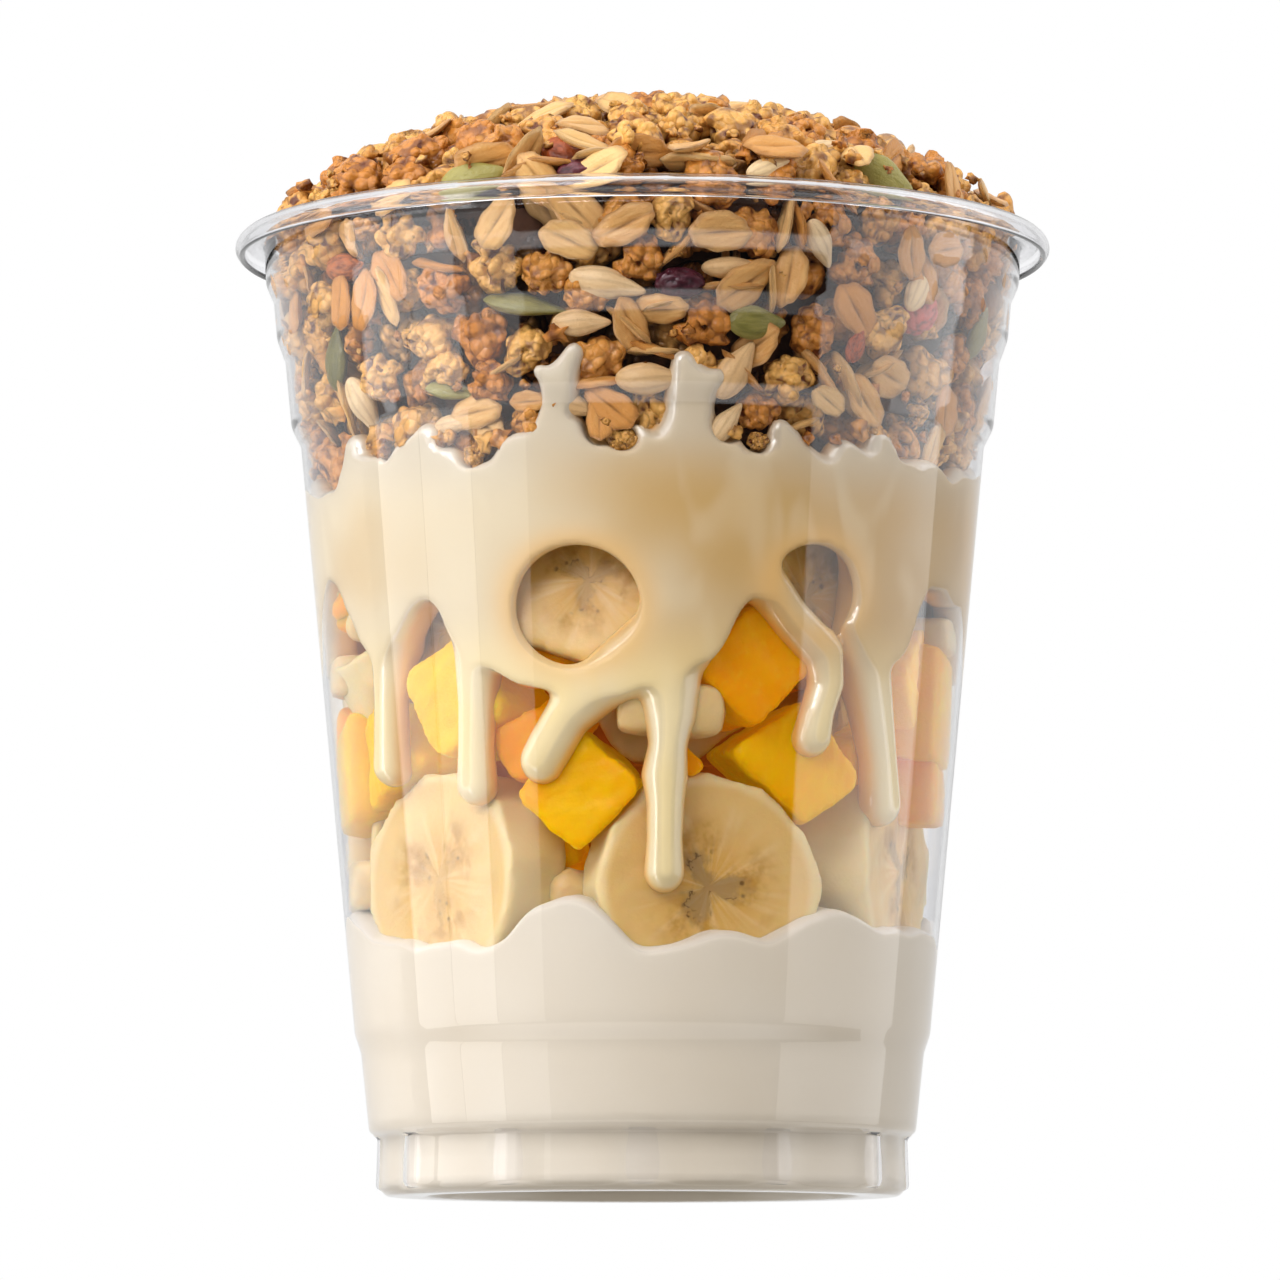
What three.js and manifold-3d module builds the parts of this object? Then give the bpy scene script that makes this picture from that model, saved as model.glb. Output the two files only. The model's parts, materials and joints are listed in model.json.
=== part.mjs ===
// A clear cold cup filled with yogurt, sliced banana, diced mango, a custard-coloured cream and
// a heap of granola. Millimetres, +Z up. The origin is the middle of the ring that the cup stands
// on, and the front looks along -Y.
// Angles called turn go round the cup in degrees: 0 is the front, and positive turns go to the right.
import * as THREE from 'three';
import { mergeVertices } from 'three/addons/utils/BufferGeometryUtils.js';
import Module from 'manifold-3d';

const wasm = await Module();
wasm.setup();

// Driving dimensions
const WALL = 0.6;
const GAP = 0.3;
const CUP_SEGMENTS = 36;
const ROOM_SEGMENTS = 24;
const LAYER_SEGMENTS = 36;
const LAYER_RADII = [33, 38, 46];
const FLUTE_DEPTH = 0.3;
const FLUTE_TOP = 7.2;
const ABOVE_HEAP = 140;
const RIM = { middle: 46.95, height: 113.55, across: 2.05, up: 1.6 };
const NECK = [45.5, 112.6];
const HEAP = { radius: 43.6, edge: 119.5, top: 131.2 };
const SYRUP_RADIUS = 20;
const FRUIT_TOP = 66;
const BANANA_THICKNESS = 9;
const BOTTOM_SLICES = 7;

// The outside of the wall from the middle of the underside to the neck, as [radius, height]
const OUTSIDE = [
  [0, 1.6], [24.6, 1.6], [25.6, 0], [30.4, 0],
  [31.4, 1.0], [31.2, 6.9],
  [32.5, 7.6], [33.5, 17.0],
  [34.25, 19.2], [41.0, 89.7],
  [42.15, 92.0], [42.9, 99.8],
  [43.95, 102.7], [44.35, 107.1],
  [45.3, 109.3], NECK,
];

// The corner of the outside where the plain floor over the ring meets the wall
const FOOT_CORNER = 4;

// Heights on the wall, as [turn, height], read round the front and carried on round the back in
// the same rhythm
const YOGURT_LINE = [
  [-76, 33.5], [-62, 29.8], [-47, 29.5], [-30, 28.6], [-19, 33.2], [-10, 34.6], [-2, 29], [8, 28.4],
  [20, 29.8], [32, 28.2], [39, 33], [51, 31], [70, 31.5], [86, 30], [96, 34], [112, 29.6], [128, 29],
  [141, 33.8], [156, 29], [172, 28.6], [188, 34], [204, 30], [222, 28.8], [240, 34.4], [258, 31],
];
const CREAM_EDGE = [
  [-87, 61], [-71, 72], [-54, 62], [-41, 68.5], [-31, 61], [-22, 57.5], [-8, 56.5], [4, 57.5], [11, 60],
  [20, 67.7], [27, 67.5], [38, 65.5], [45, 61], [52, 62], [61, 71], [74, 69], [88, 61], [101, 71],
  [115, 62], [129, 70], [143, 60], [157, 71.5], [171, 61], [185, 69], [199, 62], [213, 71], [227, 60],
  [244, 70], [258, 66],
];
const CREAM_TOP = [
  [-67, 83.8], [-56, 86.4], [-40, 86.8], [-28, 84.4], [-20, 87], [-14, 92], [-8, 87.4], [2, 86.6], [9, 90.5],
  [18, 85.8], [28, 84.9], [44, 86.4], [62, 85.2], [84, 87], [104, 84.4], [126, 88.2], [146, 85], [168, 87.4],
  [190, 84.6], [212, 88], [236, 85.2], [260, 86.6], [278, 84.8],
];

// Round windows in the cream, with half their width and half their height
const WINDOWS = [
  { turn: -11.6, height: 66.8, across: 7.4, up: 6.7 },
  { turn: 31.5, height: 68.9, across: 5.9, up: 5.2 },
  { turn: 157, height: 67.5, across: 6.6, up: 6.2 },
];

// Drips down the inside of the wall, as stations of [turn, height, half width]
const DRIPS = [
  [[-52, 69, 5], [-53.4, 62, 2.7], [-54, 57, 2.1], [-55.2, 52, 2.25], [-55.8, 50.2, 2.3]],
  [[-30.4, 68, 6], [-30.8, 62, 3.2], [-31, 56, 2.35], [-31.5, 51, 2.3], [-31.9, 47.4, 2.45]],
  [[3, 64, 4.5], [-3, 59.5, 3.4], [-10, 55, 3], [-17, 51, 2.7], [-19.5, 49.8, 2.6]],
  [[4.5, 67, 7.5], [4.4, 60, 4.6], [4.6, 53.5, 3.1], [4.6, 48.5, 2.1], [4.4, 42, 2.35], [4.3, 36.6, 2.45]],
  [[21, 71.5, 2.6], [27.5, 66, 2.4], [34.5, 61.8, 2.6], [35, 58.5, 2.3], [33.2, 55, 2.05], [32.6, 52.7, 2.2]],
  [[44.5, 68, 5.5], [46, 61, 3.4], [47.6, 56, 2.7], [49.8, 50.5, 2.35], [52, 45.2, 2.5]],
];
const BACK_DRIPS = {
  turns: [88, 115, 143, 171, 199, 227, 273],
  lengths: [17, 13, 22, 18, 11, 20, 15],
  widths: [2.3, 2.1, 2.5, 2.2, 2.1, 2.4, 2.2],
};
const DRIP_DEPTH = 1;
const DRIP_SIDES = 5;

// Banana slices. back is how far the cut face stands behind the wall, yaw turns the face aside and tilt tips
// it upwards.
const BANANAS = [
  { turn: 14, height: 34.7, across: 27, back: 0.8 },
  { turn: -47.9, height: 36.2, across: 26.2, back: 0.7, roll: 40 },
  { turn: 70.5, height: 38, across: 26, back: 0.8, roll: 15 },
  { turn: -91, height: 37.2, across: 26.5, back: 0.9, roll: 65 },
  { turn: 117, height: 35.6, across: 27, back: 0.8, roll: 30 },
  { turn: 163, height: 37, across: 26, back: 0.8, roll: 10 },
  { turn: 211, height: 35.2, across: 27.4, back: 0.8, roll: 52 },
  { turn: 43, height: 36.4, across: 23, back: 5.5, yaw: 50 },
  { turn: -10.5, height: 69.4, across: 22, back: 2.9, tilt: 8, roll: 20 },
  { turn: 34, height: 68.6, across: 24, back: 3.1, yaw: 8, roll: 50 },
  { turn: -43, height: 65.4, across: 22, back: 4, yaw: -8 },
  { turn: 46, height: 57.6, across: 20, back: 5, yaw: 20 },
  { turn: -78, height: 64, across: 25, back: 8.5, tilt: 62 },
  { turn: 5, height: 54.6, across: 22, back: 13.5, tilt: 84 },
  { turn: 86, height: 69, across: 24, back: 3.2, yaw: -6 },
  { turn: 118, height: 62.5, across: 25, back: 8.5, tilt: 65 },
  { turn: 157, height: 67.5, across: 24, back: 3, roll: 30 },
  { turn: 190, height: 62, across: 25, back: 8.8, tilt: 70 },
  { turn: 226, height: 68, across: 24, back: 3.2, yaw: 12 },
  { turn: 249, height: 62.6, across: 24, back: 8.6, tilt: 66 },
];

// Mango cubes. Sizes are across the face, up the face and into the cup, and roll turns the cube on its face.
const MANGOES = [
  { turn: -12.6, height: 45.7, size: [10.8, 11, 11.5], back: 1.5, roll: 48 },
  { turn: -40, height: 57.4, size: [11, 11.8, 10.5], back: 1.5, roll: 30 },
  { turn: 22, height: 60.3, size: [11.2, 10.4, 11], back: 1.5, roll: 46 },
  { turn: 34.5, height: 48.6, size: [12.4, 12, 12], back: 1.5, roll: 34, yaw: -16 },
  { turn: -67.5, height: 50.4, size: [11.8, 11.6, 11], back: 1.5, roll: 42 },
  { turn: -25.5, height: 54.4, size: [11, 12, 10], back: 3.4, roll: 28, yaw: 14 },
  { turn: 72, height: 59.4, size: [12, 11.4, 11], back: 1.5, roll: 40 },
  { turn: 59, height: 49.6, size: [10.5, 10.5, 11], back: 3.4, roll: 22 },
  { turn: 93, height: 51.4, size: [11.6, 12, 11], back: 1.5, roll: 46 },
  { turn: 105, height: 61, size: [11, 11.5, 10.5], back: 1.5, roll: 24 },
  { turn: 126, height: 50.6, size: [12, 11.2, 11.5], back: 1.5, roll: 38 },
  { turn: 142, height: 58.6, size: [11.4, 11, 11], back: 1.5, roll: 52 },
  { turn: 166, height: 54, size: [12, 11.6, 11], back: 1.5, roll: 30 },
  { turn: 187, height: 48.2, size: [11, 11.4, 11], back: 1.5, roll: 45 },
  { turn: 206, height: 57.8, size: [11.8, 11, 11], back: 1.5, roll: 35 },
  { turn: 229, height: 52.4, size: [11.2, 12, 11], back: 1.5, roll: 48 },
  { turn: 247, height: 49.6, size: [11, 11, 11], back: 2.4, roll: 20 },
  { turn: 266, height: 56.2, size: [11.6, 11.2, 11], back: 1.5, roll: 42 },
];

// Kinds of granola piece: length, width and thickness, the share of each kind, and how rough its faces are
const GRANOLA_KINDS = [
  { share: 0.42, size: [10.6, 9, 7.4], rough: 0.14 },
  { share: 0.3, size: [9.6, 6.6, 2.8], rough: 0.02 },
  { share: 0.1, size: [11.5, 6.4, 3.6], rough: 0 },
  { share: 0.08, size: [10, 5.2, 3.8], rough: 0 },
  { share: 0.05, size: [12.5, 7.6, 5.4], rough: 0 },
  { share: 0.05, size: [9.4, 6.6, 6], rough: 0.06 },
];
const GRANOLA_ROWS = { first: 90.5, last: 115.5, count: 5, around: 13 };
const GRANOLA_DOME_PIECES = 32;
const CORE_SINK = 2.3;
const CORE_LUMP = 1.3;
const CORE_SEGMENTS = 20;
const HEAP_TOLERANCE = 0.5;

const CLEAR = new THREE.MeshStandardMaterial({ color: 0xf2f4f5, roughness: 0.08, metalness: 0 });
const WHITE = new THREE.MeshStandardMaterial({ color: 0xf6efe0, roughness: 0.45, metalness: 0 });
const CUSTARD = new THREE.MeshStandardMaterial({ color: 0xf3dfae, roughness: 0.3, metalness: 0 });
const AMBER = new THREE.MeshStandardMaterial({ color: 0x9a4c0c, roughness: 0.2, metalness: 0 });
const BANANA = new THREE.MeshStandardMaterial({ color: 0xf0dca8, roughness: 0.5, metalness: 0 });
const MANGO = new THREE.MeshStandardMaterial({ color: 0xf2a30f, roughness: 0.35, metalness: 0 });
const TOASTED = new THREE.MeshStandardMaterial({ color: 0xc8873c, roughness: 0.8, metalness: 0 });

const radians = THREE.MathUtils.degToRad;

// The same draws on every run, from one starting number
function seeded(seed) {
  let state = seed;
  return () => {
    state = (state + 0x6d2b79f5) | 0;
    let mixed = Math.imul(state ^ (state >>> 15), 1 | state);
    mixed = (mixed + Math.imul(mixed ^ (mixed >>> 7), 61 | mixed)) ^ mixed;
    return ((mixed ^ (mixed >>> 14)) >>> 0) / 4294967296;
  };
}

// Drops all but the positions, joins equal corners and leaves out triangles with no area
function welded(geometry) {
  const bare = geometry.index ? geometry.toNonIndexed() : geometry.clone();
  bare.deleteAttribute('normal');
  bare.deleteAttribute('uv');
  const merged = mergeVertices(bare, 1e-4);
  const corners = [];
  for (let i = 0; i < merged.index.count; i += 3) {
    const [a, b, c] = [0, 1, 2].map((k) => merged.index.getX(i + k));
    if (a !== b && b !== c && c !== a) {
      corners.push(a, b, c);
    }
  }
  merged.setIndex(corners);
  return merged;
}

// Moves every corner of a geometry by a function that changes a vector in place
function moved(geometry, change) {
  const place = geometry.getAttribute('position');
  const point = new THREE.Vector3();
  for (let i = 0; i < place.count; i += 1) {
    point.fromBufferAttribute(place, i);
    change(point);
    place.setXYZ(i, point.x, point.y, point.z);
  }
  return geometry;
}

function signedVolume(geometry) {
  const place = geometry.getAttribute('position');
  const [a, b, c] = [new THREE.Vector3(), new THREE.Vector3(), new THREE.Vector3()];
  let six = 0;
  for (let i = 0; i < geometry.index.count; i += 3) {
    a.fromBufferAttribute(place, geometry.index.getX(i));
    b.fromBufferAttribute(place, geometry.index.getX(i + 1));
    c.fromBufferAttribute(place, geometry.index.getX(i + 2));
    six += a.dot(b.cross(c));
  }
  return six / 6;
}

function solid(geometry) {
  const index = Uint32Array.from(geometry.index.array);
  if (signedVolume(geometry) < 0) {
    for (let i = 0; i < index.length; i += 3) {
      [index[i + 1], index[i + 2]] = [index[i + 2], index[i + 1]];
    }
  }
  const vertProperties = Float32Array.from(geometry.getAttribute('position').array);
  return new wasm.Manifold(new wasm.Mesh({ numProp: 3, vertProperties, triVerts: index }));
}

// The largest body of a solid, without slivers, so that a cut leaves no scraps
function tidied(shape, tolerance = 0.02) {
  const bodies = shape.simplify(tolerance).decompose();
  return bodies.reduce((best, body) => (body.volume() > best.volume() ? body : best));
}

function namedMesh(name, shape, material) {
  const { vertProperties, triVerts } = shape.getMesh();
  const geometry = new THREE.BufferGeometry();
  geometry.setAttribute('position', new THREE.BufferAttribute(Float32Array.from(vertProperties), 3));
  geometry.setIndex(new THREE.BufferAttribute(Uint32Array.from(triVerts), 1));
  geometry.computeVertexNormals();
  const mesh = new THREE.Mesh(geometry, material);
  mesh.name = name;
  return mesh;
}

// A body of revolution about Z whose corners may then be moved
function turned(outline, segments, change = () => {}) {
  const points = outline.map(([radius, height]) => new THREE.Vector2(radius, height));
  const lathe = new THREE.LatheGeometry(points, segments).rotateX(Math.PI / 2);
  return solid(moved(welded(lathe), change));
}

function turnOf(point) {
  return THREE.MathUtils.radToDeg(Math.atan2(point.x, -point.y));
}

function at(turn, reach, height) {
  return new THREE.Vector3(reach * Math.sin(radians(turn)), -reach * Math.cos(radians(turn)), height);
}

// A smooth closed line through [turn, height] marks, level at each mark
function around(marks) {
  return (turn) => {
    const first = marks[0][0];
    const wrapped = first + THREE.MathUtils.euclideanModulo(turn - first, 360);
    const next = marks.findIndex(([mark]) => mark > wrapped);
    const after = next < 0 ? [first + 360, marks[0][1]] : marks[next];
    const before = next < 0 ? marks[marks.length - 1] : marks[next - 1];
    const share = (wrapped - before[0]) / (after[0] - before[0]);
    return THREE.MathUtils.lerp(before[1], after[1], (1 - Math.cos(Math.PI * share)) / 2);
  };
}

// Moves an outline of [radius, height] points inwards by the same distance everywhere
function insetOutline(outline, distance) {
  const normal = (from, to) => new THREE.Vector2(from[1] - to[1], to[0] - from[0]).normalize();
  return outline.map((point, i) => {
    const before = i > 0 ? normal(outline[i - 1], point) : new THREE.Vector2(0, 1);
    const after = i < outline.length - 1 ? normal(point, outline[i + 1]) : before;
    const miter = before.clone().add(after).normalize();
    const reach = distance / Math.max(miter.dot(before), 0.5);
    return [Math.max(point[0] + miter.x * reach, 0), point[1] + miter.y * reach];
  });
}

// The inside at a distance from the outside, with a plain floor over the ring that the cup stands on
function insideOutline(distance) {
  return insetOutline(OUTSIDE, distance).filter((_, i) => i === 0 || i >= FOOT_CORNER);
}

// Radius of the room inside the wall at a height
function roomRadius(height) {
  const outline = insideOutline(WALL + GAP);
  const next = outline.findIndex(([, level], i) => i > 1 && level > height);
  if (next < 0) {
    return outline[outline.length - 1][0];
  }
  const [before, after] = [outline[next - 1], outline[next]];
  return THREE.MathUtils.mapLinear(height, before[1], after[1], before[0], after[0]);
}

// Moves a corner of the foot in or out by the depth of a flute
function flute(point, depth) {
  const reach = Math.hypot(point.x, point.y);
  if (reach < 28 || point.z > FLUTE_TOP || point.z < 0.5) {
    return;
  }
  const scale = (reach + depth) / reach;
  point.x *= scale;
  point.y *= scale;
}

function makeCup() {
  const arc = (inner, count) =>
    Array.from({ length: count }, (_, i) => {
      const angle = Math.PI - (i * radians(232)) / (count - 1);
      const across = RIM.across - inner;
      const up = RIM.up - inner;
      return [RIM.middle + across * Math.cos(angle), RIM.height + up * Math.sin(angle)];
    });
  const inside = insideOutline(WALL);
  const rim = [...arc(WALL, 4), ...arc(0, 6).reverse()];
  const outline = [...OUTSIDE.slice(0, -1), ...rim, ...inside.reverse().slice(1)];
  return turned(outline, CUP_SEGMENTS, (point) => {
    const step = Math.round((turnOf(point) * CUP_SEGMENTS) / 360);
    flute(point, step % 2 === 0 ? FLUTE_DEPTH : -FLUTE_DEPTH);
  });
}

// The room inside the wall, clear of the flutes and carried straight up above the rim
function makeRoom() {
  const outline = insideOutline(WALL + GAP);
  const [neckRadius] = outline[outline.length - 1];
  const tall = [...outline, [neckRadius, ABOVE_HEAP], [0, ABOVE_HEAP]];
  return turned(tall, ROOM_SEGMENTS, (point) => flute(point, -FLUTE_DEPTH));
}

// A disc of the cup's width between two wavy heights, each a function of turn and radius
function makeLayer(below, above, radii, segments) {
  const bottom = radii.map((radius) => [radius, 0]);
  const top = radii.map((radius) => [radius, 1]).reverse();
  const outline = [[0, 0], ...bottom, ...top, [0, 1]];
  return turned(outline, segments, (point) => {
    const height = point.z > 0.5 ? above : below;
    point.z = height(turnOf(point), Math.hypot(point.x, point.y));
  });
}

// A flattened tube down the inside of the wall through stations of [turn, height, half width],
// with round ends
function makeDrip(stations, grow = 0) {
  const along = stations.map(([turn, height, half]) => {
    const reach = roomRadius(height) - DRIP_DEPTH;
    return { place: new THREE.Vector2(radians(turn) * reach, height), half: half + grow };
  });
  const last = along[along.length - 1];
  const heading = last.place.clone().sub(along[along.length - 2].place).normalize();
  const end = last.place.clone().addScaledVector(heading, last.half * 0.85);
  const tip = { place: end, half: last.half * 0.55 };
  const rows = [...along, tip];
  const tube = new THREE.CylinderGeometry(1, 1, 1, DRIP_SIDES, rows.length - 1);
  const shape = moved(welded(tube), (point) => {
    const row = Math.round((0.5 - point.y) * (rows.length - 1));
    const { place, half } = rows[row];
    const before = rows[Math.max(row - 1, 0)].place;
    const after = rows[Math.min(row + 1, rows.length - 1)].place;
    const direction = after.clone().sub(before).normalize();
    const depth = Math.min(half, DRIP_DEPTH + grow);
    const aside = new THREE.Vector2(-direction.y, direction.x).multiplyScalar(point.x * half);
    const spread = place.clone().add(aside);
    const middle = roomRadius(spread.y) - DRIP_DEPTH;
    const turn = THREE.MathUtils.radToDeg(spread.x / middle);
    point.copy(at(turn, middle + point.z * depth, spread.y));
  });
  return solid(shape);
}

function backDrips() {
  return BACK_DRIPS.turns.map((turn, i) => {
    const width = BACK_DRIPS.widths[i];
    const start = 66;
    const end = start - BACK_DRIPS.lengths[i];
    const lean = i % 2 ? 1.4 : -1.2;
    return [
      [turn, start + 3, width * 2.4],
      [turn + lean * 0.3, start - 3, width * 1.4],
      [turn + lean * 0.7, (start + end) / 2, width * 0.95],
      [turn + lean, end, width],
    ];
  });
}

// Turns a piece whose face looks up so that the face looks out of the cup, and moves it to its place
function placed(geometry, { turn, height, yaw = 0, tilt = 0, roll = 0 }, reach) {
  geometry.rotateZ(radians(roll));
  geometry.rotateX(Math.PI / 2 - radians(tilt));
  geometry.rotateZ(radians(turn + yaw));
  const to = at(turn, reach, height);
  return geometry.translate(to.x, to.y, to.z);
}

// A prism with the outline given, its middle at the origin and its faces looking up and down
function prism(outline, thickness) {
  const shape = new THREE.Shape(outline.map(([right, high]) => new THREE.Vector2(right, high)));
  const geometry = new THREE.ExtrudeGeometry(shape, { depth: thickness, bevelEnabled: false });
  return geometry.translate(0, 0, -thickness / 2);
}

// How far from the axis a face of the half width given can stand without its corners reaching the wall
function faceReach(height, halfWidth) {
  return Math.sqrt(roomRadius(height) ** 2 - halfWidth ** 2);
}

// A slice has a slightly three-sided outline
function makeBanana(slice, grow = 0) {
  const sides = 12;
  const outline = Array.from({ length: sides }, (_, i) => {
    const angle = (i * 2 * Math.PI) / sides;
    const radius = (slice.across / 2) * (1 + 0.02 * Math.cos(3 * angle)) + grow;
    return [radius * Math.cos(angle), radius * Math.sin(angle)];
  });
  const standing = 1 - Math.sin(radians(slice.tilt ?? 0));
  const face = faceReach(slice.height, (standing * slice.across) / 2);
  const reach = face - slice.back - BANANA_THICKNESS / 2;
  return solid(welded(placed(prism(outline, BANANA_THICKNESS + 2 * grow), slice, reach)));
}

// A cube has its four long edges cut off
function makeMango(cube, grow = 0) {
  const [across, up, deep] = cube.size.map((length) => length + 2 * grow);
  const corner = 1.1;
  const [x, y] = [across / 2, up / 2];
  const outline = [
    [x, y - corner], [x - corner, y], [corner - x, y], [-x, y - corner],
    [-x, corner - y], [corner - x, -y], [x - corner, -y], [x, corner - y],
  ];
  const face = faceReach(cube.height, Math.hypot(cube.size[0], cube.size[1]) / 2 - corner / 2);
  return solid(welded(placed(prism(outline, deep), cube, face - cube.back - cube.size[2] / 2)));
}

// Cuts a piece flat along the one face of its neighbour that leaves the most of it
function pressedBy(shape, neighbour) {
  if (shape.intersect(neighbour).volume() < 1e-3) {
    return shape;
  }
  const { vertProperties, triVerts } = neighbour.getMesh();
  const corner = (i) => new THREE.Vector3().fromArray(vertProperties, 3 * triVerts[i]);
  let best = null;
  for (let i = 0; i < triVerts.length; i += 3) {
    const face = new THREE.Plane().setFromCoplanarPoints(corner(i), corner(i + 1), corner(i + 2));
    const left = shape.trimByPlane(face.normal.toArray(), -face.constant);
    best = best && best.volume() >= left.volume() ? best : left;
  }
  return best;
}

function granolaPiece(kind, random) {
  const [length, width, thickness] = kind.size.map((side) => side * (0.86 + 0.28 * random()));
  const lump = kind.rough > 0.05;
  const base = lump ? new THREE.IcosahedronGeometry(0.5, 0) : new THREE.SphereGeometry(0.5, 6, 3);
  const piece = moved(welded(base), (point) => {
    point.multiplyScalar(1 + kind.rough * (2 * random() - 1));
    point.multiply(new THREE.Vector3(width, length, thickness));
  });
  piece.rotateZ(2 * Math.PI * random());
  return piece;
}

function drawKind(random) {
  let draw = random();
  return GRANOLA_KINDS.find(({ share }) => (draw -= share) < 0) ?? GRANOLA_KINDS[0];
}

function heapHeight(reach) {
  return HEAP.top - (HEAP.top - HEAP.edge) * (reach / HEAP.radius) ** 2.4;
}

// Moves a piece of the heap inwards until it only just touches the wall
function clearOfWall(geometry) {
  const place = geometry.getAttribute('position');
  const middle = new THREE.Vector3();
  let excess = -Infinity;
  for (let i = 0; i < place.count; i += 1) {
    const point = new THREE.Vector3().fromBufferAttribute(place, i);
    middle.addScaledVector(point, 1 / place.count);
    const facet = roomRadius(point.z) * Math.cos(Math.PI / ROOM_SEGMENTS);
    excess = Math.max(excess, Math.hypot(point.x, point.y) - facet);
  }
  const inwards = new THREE.Vector3(middle.x, middle.y, 0).normalize().multiplyScalar(-excess);
  return geometry.translate(inwards.x, inwards.y, 0);
}

// The heap is a plain core with the pieces that show lying in its wall side and its dome
function makeGranola(room, creamTop) {
  const random = seeded(7);
  const side = [80, 89, 95, 101, 107, 113].map((height) => [roomRadius(height) - CORE_SINK, height]);
  const dome = [40, 33, 24, 12].map((reach) => [reach, heapHeight(reach) - CORE_SINK]);
  const outline = [[0, 80], ...side, ...dome, [0, HEAP.top - CORE_SINK]];
  const core = turned(outline, CORE_SEGMENTS, (point) => {
    const reach = Math.hypot(point.x, point.y);
    const scale = 1 + (CORE_LUMP * (2 * random() - 1)) / Math.max(reach, 10);
    point.set(point.x * scale, point.y * scale, point.z + CORE_LUMP * (2 * random() - 1));
  });
  const pieces = [core];
  const { first, last, count, around: perRow } = GRANOLA_ROWS;
  for (let row = 0; row < count; row += 1) {
    const height = THREE.MathUtils.lerp(first, last, row / (count - 1));
    for (let i = 0; i < perRow; i += 1) {
      const kind = drawKind(random);
      const turn = ((i + 0.5 * (row % 2) + 0.5 * (random() - 0.5)) * 360) / perRow;
      const level = height + 3 * (random() - 0.5);
      const geometry = granolaPiece(kind, random);
      const pose = { turn, height: level, yaw: 40 * (random() - 0.5), tilt: 50 * (random() - 0.5) };
      pieces.push(solid(clearOfWall(placed(geometry, pose, roomRadius(level)))));
    }
  }
  const spiral = 180 * (3 - Math.sqrt(5));
  for (let i = 0; i < GRANOLA_DOME_PIECES; i += 1) {
    const kind = drawKind(random);
    const reach = (HEAP.radius - 3.5) * Math.sqrt((i + 0.5) / GRANOLA_DOME_PIECES);
    const geometry = granolaPiece(kind, random);
    const level = heapHeight(reach) - kind.size[2] * 0.5;
    const pose = { turn: i * spiral, height: level, yaw: 30 * (random() - 0.5), tilt: 58 + 40 * random() };
    pieces.push(solid(placed(geometry, pose, reach)));
  }
  const clear = (turn, reach) => creamTop(turn, reach) + 2 * GAP;
  const below = makeLayer(() => 60, clear, LAYER_RADII, LAYER_SEGMENTS);
  return tidied(wasm.Manifold.union(pieces).subtract(below).intersect(room), HEAP_TOLERANCE);
}

// Heights across a layer: one value over the middle, blending to the line on the wall near the wall
function blended(line, middle, from) {
  return (turn, reach) => {
    const share = THREE.MathUtils.smoothstep(reach, from, 37);
    return THREE.MathUtils.lerp(middle, line(turn), share);
  };
}

const room = makeRoom();
const yogurtTop = blended(around(YOGURT_LINE), 33, 22);
const creamBottom = blended(around(CREAM_EDGE), FRUIT_TOP, 33);
const creamTop = blended(around(CREAM_TOP), 88, 31);
const routes = [...DRIPS, ...backDrips()];
const drips = wasm.Manifold.union(routes.map((route) => makeDrip(route)));
const dripRoom = wasm.Manifold.union(routes.map((route) => makeDrip(route, GAP)));

const bananas = BANANAS.map((slice, i) => ({
  name: `banana_${i + 1}`, material: BANANA, make: (grow) => makeBanana(slice, grow),
}));
const mangoes = MANGOES.map((cube, i) => ({
  name: `mango_${i + 1}`, material: MANGO, make: (grow) => makeMango(cube, grow),
}));
const laid = [...bananas.slice(0, BOTTOM_SLICES), ...mangoes, ...bananas.slice(BOTTOM_SLICES)];
const fruitRooms = [];
const fruitMeshes = laid.map(({ name, material, make }) => {
  const pressed = fruitRooms.reduce(pressedBy, make(0).intersect(room));
  fruitRooms.push(make(GAP));
  return namedMesh(name, tidied(pressed.subtract(dripRoom), 0.1), material);
});
const allFruit = wasm.Manifold.union(fruitRooms);

function windowPlug({ turn, height, across, up }) {
  const plug = new THREE.CylinderGeometry(1, 1, 14, 12).scale(across, 1, up);
  return solid(placed(welded(plug.rotateX(-Math.PI / 2)), { turn, height }, roomRadius(height)));
}

const yogurt = makeLayer(() => -2, yogurtTop, [24, 46], ROOM_SEGMENTS).intersect(room);
const syrup = makeLayer(
  (turn, reach) => yogurtTop(turn, reach) + GAP, () => FRUIT_TOP - GAP, [SYRUP_RADIUS], 20,
);
const sheet = makeLayer(creamBottom, creamTop, LAYER_RADII, LAYER_SEGMENTS)
  .subtract(wasm.Manifold.union(WINDOWS.map(windowPlug)))
  .subtract(allFruit);

const model = new THREE.Group();
model.add(
  namedMesh('cup', makeCup(), CLEAR),
  namedMesh('yogurt', tidied(yogurt.subtract(allFruit).subtract(dripRoom), 0.1), WHITE),
  namedMesh('fruit_syrup', tidied(syrup.subtract(allFruit), 0.1), AMBER),
  namedMesh('cream', tidied(sheet.add(drips).intersect(room), 0.1), CUSTARD),
  namedMesh('granola', makeGranola(room, creamTop), TOASTED),
  ...fruitMeshes,
);

export default model;
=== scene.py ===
"""A clear cold cup of yogurt, banana, mango, custard cream and granola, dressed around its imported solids.

Sizes are in millimetres until a mesh is made, and then in metres. An angle called turn goes round the
cup in degrees: 0 is the front, which looks along -Y, and positive turns go to the right. Depth is the
distance inwards from the inside of the wall.
"""

import json
import logging
import math
from dataclasses import dataclass, field
from enum import Enum
from typing import Callable, NamedTuple, Sequence

import bmesh
import bpy
import numpy as np
from mathutils import Euler, Matrix, Vector

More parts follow.
